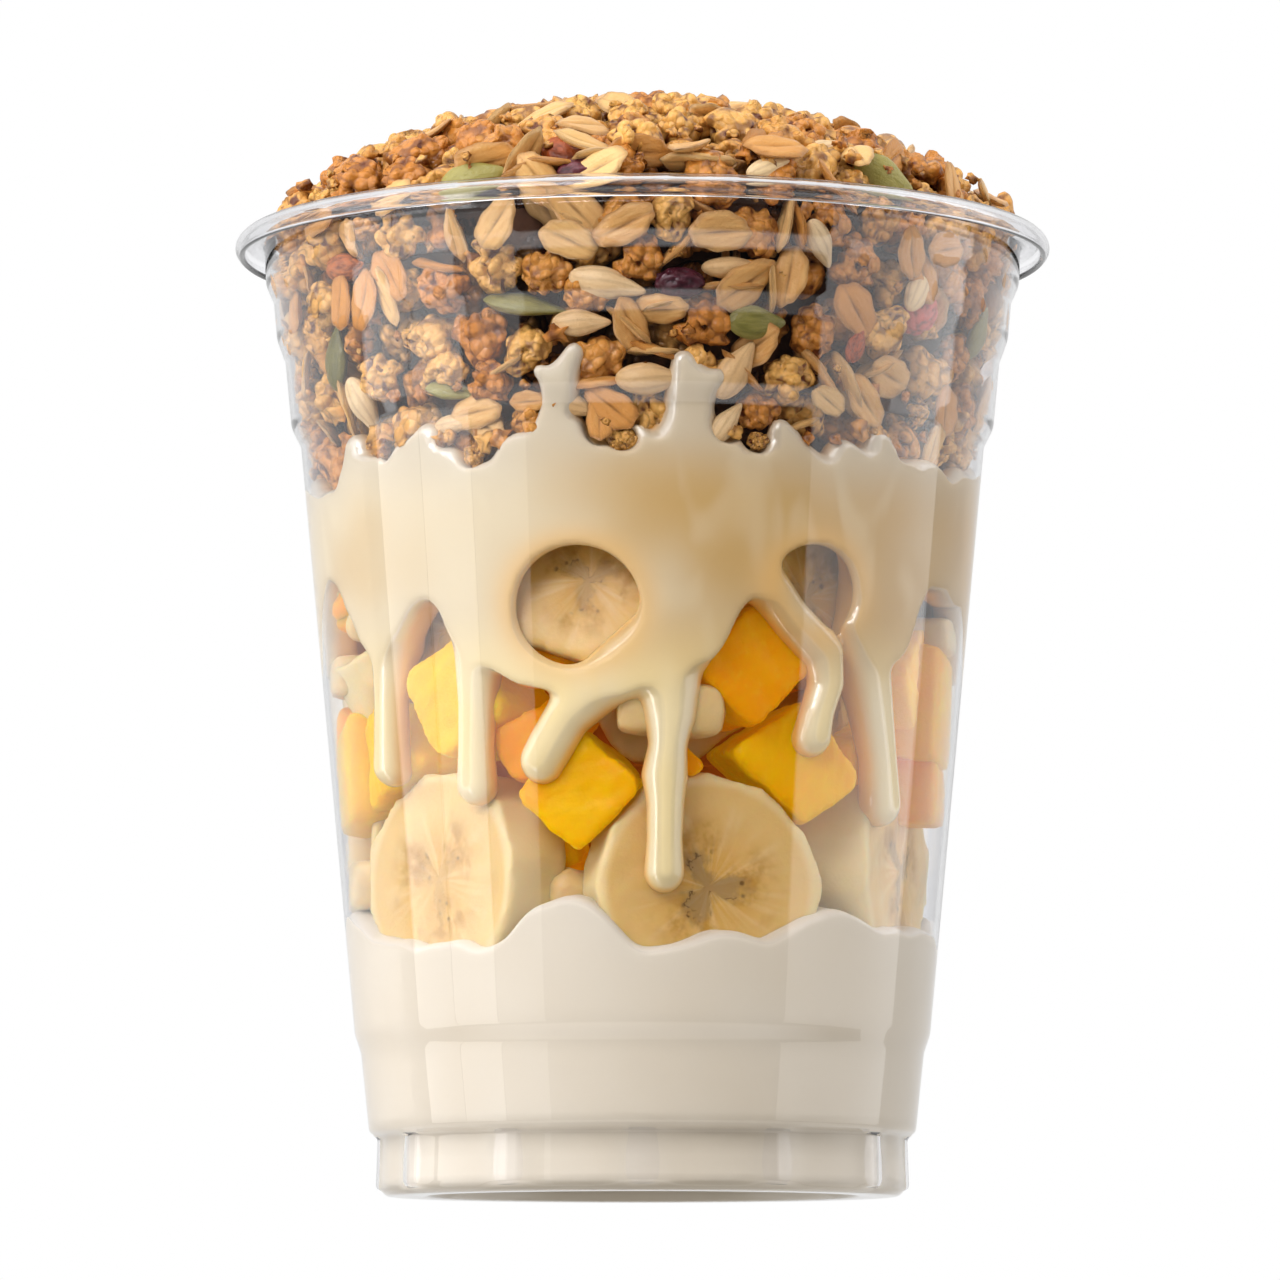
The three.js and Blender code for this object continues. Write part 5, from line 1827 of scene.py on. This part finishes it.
@dataclass(frozen=True)
class Skin:
    """The granola's outside: the cup's wall, and above the neck a dome."""

    radius: float = 43.6
    edge: float = 119.5
    top: float = 131.2
    power: float = 2.4
    neck: float = 114.0
    into_wall: float = 0.3

    def dome(self, share: Array) -> Array:
        """The dome's height at a share of its radius."""
        return self.top - (self.top - self.edge) * share ** self.power

    def reach(self, height: Array) -> Array:
        """How far out the granola goes: to the wall, and above the neck to the dome's edge."""
        above = np.interp(height, (112.0, 116.5, self.edge), (60.0, 44.7, self.radius + 0.5))
        return np.minimum(FORM.room(height), above)

    def depth(self, points: Array) -> Array:
        """How far points are inside the skin, below zero outside."""
        reach = np.hypot(points[..., 0], points[..., 1])
        share = reach / self.radius
        slope = (self.top - self.edge) * self.power / self.radius * share ** (self.power - 1)
        height = points[..., 2]
        return np.minimum(self.reach(height) - reach, (self.dome(share) - height) / np.hypot(1, slope))

    def normal(self, points: Array) -> Array:
        """The outward direction of the skin nearest to each point."""
        step = 0.5
        grow = [self.depth(points - step * axis) - self.depth(points + step * axis) for axis in np.eye(3)]
        normal = np.stack(grow, axis=-1) + 1e-6
        return normal / np.linalg.norm(normal, axis=-1, keepdims=True)

    def pressed_in(self, places: Array) -> Array:
        """Presses what would stand through the wall flat against it, just inside its outer face.

        Args:
            places: points in metres.

        Returns:
            The same points, none of them further out than the wall below the rim.
        """
        reach = np.hypot(places[:, 0], places[:, 1]) / MM
        height = places[:, 2] / MM
        limit = np.where(height < self.neck, FORM.room(height) + self.into_wall, np.inf)
        squeeze = np.minimum(1.0, limit / np.maximum(reach, 0.001))
        return places * np.stack((squeeze, squeeze, np.ones(len(places))), axis=1)


SKIN = Skin()


def frame_on(normal: Array, along: Array) -> Array:
    """Axes as columns: along made square to the normal, the direction across, and the normal."""
    long_way = along - normal * (along @ normal)
    long_way /= np.linalg.norm(long_way)
    return np.stack([long_way, np.cross(normal, long_way), normal], axis=1)


def on_edge(axes: Array) -> Array:
    """Tips a piece's axes over, so that it stands on its long edge."""
    return np.stack([axes[:, 0], axes[:, 2], -axes[:, 1]], axis=1)


class Piece(NamedTuple):
    """A placed piece of granola: its kind, middle, axes as columns and scale."""

    kind: Kind
    spot: Array
    axes: Array
    scale: float


@dataclass
class Granola:
    """The granola: pieces read from the photo, loose ones round them, crumbs and a dark core."""

    outer: int = 400
    inner: int = 250
    inner_depth: float = 5.5
    crumb_count: int = 480
    rounds: int = 80
    touching: float = 0.9
    crowded: float = 1.5
    seed: int = 8
    core_marks: Marks = (
        (0.5, 84.5), (30, 84.5), (35.4, 86), (35.8, 92), (36.4, 98), (37, 104), (37.6, 110), (37.4, 115),
        (35, 118.4), (30, 120.6), (24, 122.4), (17, 123.6), (9, 124.4), (0.5, 124.6),
    )

    def above_cream(self, points: Array) -> Array:
        """How far points are above the cream's top."""
        turn = turn_of(points)
        return points[..., 2] - CREAM_TOP.height(turn) + 0.8

    def anchor(self, kind: Kind, x: float, y: float, angle: float, lie: Lie, scale: float) -> Piece:
        """Places one piece that was read from the photo.

        Args:
            kind: what it is.
            x: pixels from the photo's left edge.
            y: pixels from the photo's top edge.
            angle: its long axis, in degrees up from the right.
            lie: how it lies.
            scale: its size as a share of the kind's own.

        Returns:
            The piece, just under the skin.
        """
        tilt = math.radians(CAMERA.pitch)
        spot = CAMERA.meets(x, y, SKIN.depth)
        outwards = SKIN.normal(spot)
        normal = outwards
        if lie is Lie.FACING:
            normal = normal * 0.5 + np.array([0, -math.cos(tilt), -math.sin(tilt)]) * 0.5
            normal /= np.linalg.norm(normal)
        turned = math.radians(angle)
        axes = frame_on(normal, PHOTO_RIGHT * math.cos(turned) + PHOTO_UP * math.sin(turned))
        if lie is Lie.EDGE:
            axes = on_edge(axes)
        half = np.array(kind.value.half) * scale
        sink = float(np.abs(outwards @ axes * half).sum()) if lie is not Lie.FLAT else half[2]
        return Piece(kind, spot - outwards * (sink + 0.05), axes, scale)

    def spread(self, count: int, depth: float, rng: np.random.Generator) -> list[Piece]:
        """Spreads loose pieces over the wall and the heap.

        Args:
            count: how many pieces.
            depth: how far inside the skin they start.
            rng: the source of their choice and turn.

        Returns:
            The pieces.
        """
        profile = [(float(FORM.room(level)), level) for level in np.linspace(88, 116, 15)]
        profile += [(SKIN.radius * share, SKIN.dome(share)) for share in np.linspace(1, 0.02, 24)]
        marks = np.array(profile)
        lengths = np.hypot(*np.diff(marks, axis=0).T)
        areas = np.append(0, np.cumsum(lengths * (marks[1:, 0] + marks[:-1, 0])))
        kinds = [kind for kind in Kind if kind.value.share]
        shares = np.array([kind.value.share for kind in kinds])
        placed = []
        for i in range(count):
            share = np.interp((i + 0.5) / count * areas[-1], areas, np.arange(len(marks)))
            reach, level = (np.interp(share, np.arange(len(marks)), marks[:, axis]) for axis in (0, 1))
            turn = GOLDEN_TURN * i + rng.normal(0, 3)
            spot = at(turn, reach - 0.5, level + rng.normal(0, 0.8))
            kind = kinds[int(rng.choice(len(kinds), p=shares / shares.sum()))]
            if kind not in (Kind.OAT, Kind.CLUSTER) and spot[1] < -6:
                kind = Kind.CLUSTER
            normal = SKIN.normal(spot)
            tilt = normal + rng.normal(0, 0.33, 3)
            tilt /= np.linalg.norm(tilt)
            axes = frame_on(tilt, rng.normal(size=3))
            if kind is Kind.OAT and rng.random() < 0.35:
                axes = on_edge(axes)
            scale = rng.uniform(0.82, 1.08)
            sink = float(np.abs(normal @ axes * np.array(kind.value.half)).sum()) * scale
            placed.append(Piece(kind, spot - normal * (depth + sink * 0.9), axes, scale))
        return placed

    def crumbs(self, rng: np.random.Generator) -> list[Piece]:
        """Scatters crumbs in the gaps, over the heap and into the cream's edge."""
        placed = []
        for i in range(self.crumb_count):
            turn, scale = rng.uniform(-180, 180), rng.choice([0.7, 0.9, 1.2, 1.6], p=[0.35, 0.35, 0.2, 0.1])
            if i % 16 == 0:
                line = float(CREAM_TOP.height(np.array(turn)))
                spot = at(turn, FORM.room(line) - 0.5 * scale, line + rng.uniform(-0.2, 1.8))
            elif i % 2:
                level = rng.uniform(88, 118)
                spot = at(turn, SKIN.reach(level) - rng.uniform(0.7, 3.5), level)
            else:
                share = math.sqrt(rng.uniform(0, 1))
                spot = at(turn, SKIN.radius * share, SKIN.dome(share) - rng.uniform(0.6, 3.0))
            placed.append(Piece(Kind.CRUMB, spot, frame_on(SKIN.normal(spot), rng.normal(size=3)), scale))
        return placed

    def core(self) -> None:
        """Makes the dark middle that the pieces lie on, its dark colour painted shade for the inside of the heap.
        """
        turn = np.arange(120) * 3.0
        rows = []
        for reach, level in self.core_marks:
            ring = at(turn, reach, level)
            lump = Ripple(31, 7.0).at(ring) * min(1.0, reach / 20) * 1.3
            rows.append(at(turn, reach + lump * (level > 85), level + 0 * lump))
        points = np.concatenate(rows)
        faces = ring_faces(len(rows), 120)
        faces += [tuple(range(119, -1, -1)), tuple((len(rows) - 1) * 120 + i for i in range(120))]
        values = {"tone": np.full(len(points), 0.5), "mark": np.zeros(len(points)), "grain": points * 0.6,
                  "deep": np.full(len(points), 0.3)}
        mesh = Surface(points, faces, values).mesh("granola_core")
        outward(mesh)
        dress(place_object("granola_core", mesh, Toast.CORE.material()), "granola", "granola")

    def shapes(self, kind: Kind) -> bpy.types.Collection:
        """Makes a collection of the shapes of one kind."""
        sort = kind.value
        holder = bpy.data.collections.new(f"{kind.name.lower()}_shapes")
        for number in range(sort.shapes):
            rng = np.random.default_rng(1000 + number)
            surface = sort.make(rng, np.array(sort.half), **sort.extra)
            mesh = surface.mesh(f"{kind.name.lower()}_{number:02d}")
            outward(mesh)
            holder.objects.link(bpy.data.objects.new(mesh.name, mesh))
        return holder

    def grow(self, name: str, kind: Kind, pieces: list[Piece], finish: bpy.types.Material,
             holder: bpy.types.Collection) -> None:
        """Scatters one kind of piece over its places and joins them.

        Args:
            name: the new object's name.
            kind: what the pieces are.
            pieces: the pieces.
            finish: their material.
            holder: the collection of their shapes.
        """
        rng = np.random.default_rng(len(pieces))
        mesh = bpy.data.meshes.new(name)
        mesh.from_pydata([tuple(piece.spot * MM) for piece in pieces], [], [])
        turned = np.array([Matrix(piece.axes.tolist()).to_euler()[:] for piece in pieces])
        stretch = rng.uniform(0.94, 1.06, (len(pieces), 3)) * np.array([[piece.scale] for piece in pieces])
        carry(mesh, {"turned": turned, "stretch": stretch, "tone": rng.uniform(0, 1, len(pieces)),
                     "variant": rng.integers(0, kind.value.shapes, len(pieces))})
        maker = place_object(name, mesh, None)
        result = grown(maker, scatter_tree(), {"Shapes": holder, "Finish": finish}, name)
        for key in ("turned", "stretch", "variant"):
            if key in result.attributes:
                result.attributes.remove(result.attributes[key])
        places = points_of(result)
        result.vertices.foreach_set("co", SKIN.pressed_in(places).ravel())
        result.update()
        # Painted shade: points deeper under the heap's skin are marked to be darkened.
        carry(result, {"deep": eased(1.6, 6.5, SKIN.depth(places / MM))})
        dress(place_object(name, result, None), "granola")

    def build(self) -> None:
        """Settles the pieces and makes each kind."""
        rng = np.random.default_rng(self.seed)
        anchors = [self.anchor(kind, *row) for kind, rows in PHOTO_PIECES for row in rows]
        pieces = anchors + self.spread(self.outer, 0.0, rng) + self.spread(self.inner, self.inner_depth, rng)
        halves = np.array([np.array(piece.kind.value.half) * piece.scale for piece in pieces])
        heap = Heap(np.array([piece.spot for piece in pieces]), np.array([piece.axes for piece in pieces]),
                    halves, np.arange(len(pieces)) < len(anchors))
        heap.settle(self.rounds, self.above_cream)
        overlap = heap.worst()
        LOG.info("granola: %d pieces, %d run into each other", len(pieces), int((overlap > self.touching).sum()))
        settled = [piece._replace(spot=middle) for piece, middle, over in zip(pieces, heap.middles, overlap)
                   if over < self.crowded]
        settled += self.crumbs(rng)
        self.core()
        for kind in Kind:
            chosen = [piece for piece in settled if piece.kind is kind]
            finish, holder = kind.value.toast.material(), self.shapes(kind)
            parts = {Kind.CLUSTER: 3, Kind.OAT: 2}.get(kind, 1)
            for part in range(parts):
                name = f"granola_{kind.name.lower()}" + (f"_{part + 1}" if parts > 1 else "")
                self.grow(name, kind, chosen[part::parts], finish, holder)
            for shape in list(holder.objects):
                bpy.data.objects.remove(shape)
            bpy.data.collections.remove(holder)


def scatter_tree() -> bpy.types.GeometryNodeTree:
    """Builds the nodes that put a shape on every point, turned and stretched by the point's attributes.

    Returns:
        The node tree, with inputs for the shapes and the finish.
    """
    nodes = Grower("scatter", Shapes="Collection", Finish="Material")
    given = nodes.given.outputs
    shapes = nodes.add("GeometryNodeCollectionInfo", Collection=given["Shapes"], Separate_Children=True,
                       Reset_Children=True)
    turn = nodes.add("FunctionNodeEulerToRotation", Euler=nodes.named("turned", "FLOAT_VECTOR"))
    spread = nodes.add("GeometryNodeInstanceOnPoints", Points=given["Geometry"], Pick_Instance=True,
                       Instance=shapes.outputs["Instances"], Instance_Index=nodes.named("variant", "INT"),
                       Rotation=turn.outputs["Rotation"], Scale=nodes.named("stretch", "FLOAT_VECTOR"))
    return nodes.finish(spread.outputs["Instances"])


@dataclass
class Studio:
    """A pale floor, a white surround and soft lamps, in metres."""

    floor_size: float = 2.4
    floor_tones: tuple[Colour, Colour] = (srgb(243, 242, 240), srgb(246, 245, 244))
    lamp_distance: float = 0.62
    lamp_levels: tuple[float, float] = (-0.2, 0.9)
    key: Marks = ((-88, 1.9), (-68, 2.3), (-48, 0.9))
    key_width: float = 0.215
    right: tuple[float, float, float] = (86.5, 0.7, 1.25)
    front_glow: float = 6.4
    front_size: float = 0.28
    front_place: tuple[float, float, float] = (-0.3, -0.56, 0.42)
    front_aim: tuple[float, float, float] = (0, 0, 0.06)
    overhead_glow: float = 1.5
    overhead_size: float = 0.9
    overhead_place: tuple[float, float, float] = (-0.24, -0.35, 0.9)
    overhead_tip: float = math.atan2(0.35, 0.8)
    fill: tuple[float, float] = (0.32, 0.62)
    fill_colour: Colour = (1.0, 0.93, 0.8, 1.0)
    backdrop: tuple[float, float, float] = (0.4, 0.9, 0.14)
    mirrored: tuple[float, float, float] = (0.02, 0.9, 1.4)
    streak: tuple[float, float] = (-1.0, 5.0)
    pane: tuple[float, float] = (-0.35, 3.0)
    gleam_colour: Colour = (1, 0.97, 0.92, 1)

    def floor(self) -> None:
        """Adds the floor, which the photo's low camera sees through from beneath."""
        mesh = bpy.data.meshes.new("floor")
        half = self.floor_size / 2
        mesh.from_pydata([(-half, -half, 0), (half, -half, 0), (half, half, 0), (-half, half, 0)], [],
                         [(0, 1, 2, 3)])
        recipe = Recipe("pale_floor")
        cloud = recipe.noise(recipe.place(), 160.0, 1.0)
        recipe.set(Base_Color=recipe.mix(cloud, *self.floor_tones), Roughness=0.6)
        recipe.swap(recipe.add("ShaderNodeNewGeometry").outputs["Backfacing"],
                    recipe.add("ShaderNodeBsdfTransparent"))
        floor = place_object("floor", mesh, recipe.material)
        floor.visible_diffuse = False
        floor.visible_glossy = False
        floor.visible_transmission = False
        floor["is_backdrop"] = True

    @staticmethod
    def lamp(name: str, glow: float, width: float, height: float, place: Sequence[float], turned: Euler) -> None:
        """Adds a soft lamp.

        Args:
            name: the lamp's name.
            glow: how bright its face is.
            width: its face's width in metres.
            height: its face's height in metres.
            place: where it is.
            turned: how it is turned.
        """
        data = bpy.data.lights.new(name, "AREA")
        data.shape = "RECTANGLE"
        data.size, data.size_y = width, height
        data.energy = glow * math.pi * width * height
        lamp = bpy.data.objects.new(name, data)
        lamp.location, lamp.rotation_euler = place, turned
        bpy.context.scene.collection.objects.link(lamp)

    def softbox(self, name: str, turn: float, width: float, glow: float) -> None:
        """Adds an upright lamp that faces the cup, at a turn round it."""
        low, high = self.lamp_levels
        self.lamp(name, glow, width, high - low, at(turn, self.lamp_distance, (low + high) / 2),
                  Euler((math.radians(90), 0, math.radians(turn))))

    def surround(self) -> None:
        """Makes a surround: white behind the cup, dark in front of it as the cup mirrors it, warm as a fill."""
        world = bpy.data.worlds.new("surround")
        bpy.context.scene.world = world
        world.use_nodes = True
        nodes = Nodes(world.node_tree)
        step, times, span = nodes.step, nodes.times, nodes.span
        path = nodes.add("ShaderNodeLightPath").outputs
        side, back, up = nodes.split(nodes.add("ShaderNodeTexCoord").outputs["Generated"])
        turn = step("ARCTAN2", side, times(back, -1.0))

        def glow(strength: Socket, colour: Colour = (1, 1, 1, 1)) -> Socket:
            """Light of a strength and colour."""
            return nodes.add("ShaderNodeBackground", Color=colour, Strength=strength).outputs["Background"]

        def brighter(first: Socket, second: Socket) -> Socket:
            """The larger of two strengths."""
            return step("MAXIMUM", first, second)

        def near(middle: float, inner: float, outer: float, strength: float) -> Socket:
            """An upright band of light at an angle in radians, fading from inner to outer half width."""
            return span(step("ABSOLUTE", step("SUBTRACT", turn, middle)), inner, outer, strength, 0.0)

        low, high, dim = self.backdrop
        through = brighter(span(back, low, high, dim, 1.0), span(up, -0.1, -0.4, 0.0, 0.95))
        sight = glow(brighter(through, span(path["Transmission Depth"], 0.4, 0.6, 1.0, 0.0)))
        dark, bright, below = self.mirrored
        around = brighter(span(up, 0.0, 0.6, dark, bright), span(back, -0.3, 0.4, 0.0, 0.85))
        band = times(span(up, -0.36, -0.5, 0.0, below), span(up, -0.76, -0.88, 1.0, 0.22))
        mirror = glow(brighter(around, band))
        fill = glow(span(up, -0.05, -0.4, *self.fill), self.fill_colour)
        streak = near(self.streak[0], 0.04, 0.13, self.streak[1])
        pane = times(near(self.pane[0], 0.3, 0.45, 1.0), span(up, 0.2, 0.3, 0.0, self.pane[1]))
        gleam = glow(brighter(brighter(streak, pane), span(up, -0.2, 0.6, 0.1, 0.5)), self.gleam_colour)
        mirror = nodes.blend(span(path["Transmission Depth"], 2.4, 2.6), mirror, gleam)
        mirrored = nodes.blend(span(path["Glossy Depth"], 0.4, 0.6), sight, mirror)
        result = nodes.blend(span(path["Diffuse Depth"], 0.4, 0.6), mirrored, fill)
        nodes.feed(nodes.tree.nodes["World Output"].inputs["Surface"], result)

    def build(self) -> None:
        """Sets up the whole studio; the front lamp is where the leaning wall doesn't mirror it to the camera."""
        self.floor()
        for number, (turn, glow) in enumerate(self.key, 1):
            self.softbox(f"key_{number}", turn, self.key_width, glow)
        self.softbox("right_softbox", *self.right)
        sight = Vector(self.front_aim) - Vector(self.front_place)
        self.lamp("front_light", self.front_glow, self.front_size, self.front_size, self.front_place,
                  sight.to_track_quat("-Z", "Y").to_euler())
        self.lamp("overhead", self.overhead_glow, self.overhead_size, self.overhead_size, self.overhead_place,
                  Euler((self.overhead_tip, 0, 0)))
        self.surround()
        scene = bpy.context.scene
        scene.view_settings.view_transform = "Standard"
        scene.cycles.max_bounces = 8
        scene.cycles.diffuse_bounces = 2
        scene.cycles.glossy_bounces = 3
        scene.cycles.transmission_bounces = 8


def corners(box: tuple[Vector, Vector]) -> list[list[float]]:
    """Turns a box into plain lists."""
    return [[float(value) for value in corner] for corner in box]


def main() -> None:
    """Builds the cup and its contents in order."""
    logging.basicConfig(level=logging.INFO, format="%(message)s")
    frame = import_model()
    solid_box = corners(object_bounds())
    CAMERA.build()
    Studio().build()
    Cup().build()
    Yogurt().build()
    Cream().build()
    Fruit(frame["nodes"]).build()
    Granola().build()
    {"solids": solid_box, "visual": corners(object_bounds())}


if __name__ == "__main__":
    main()
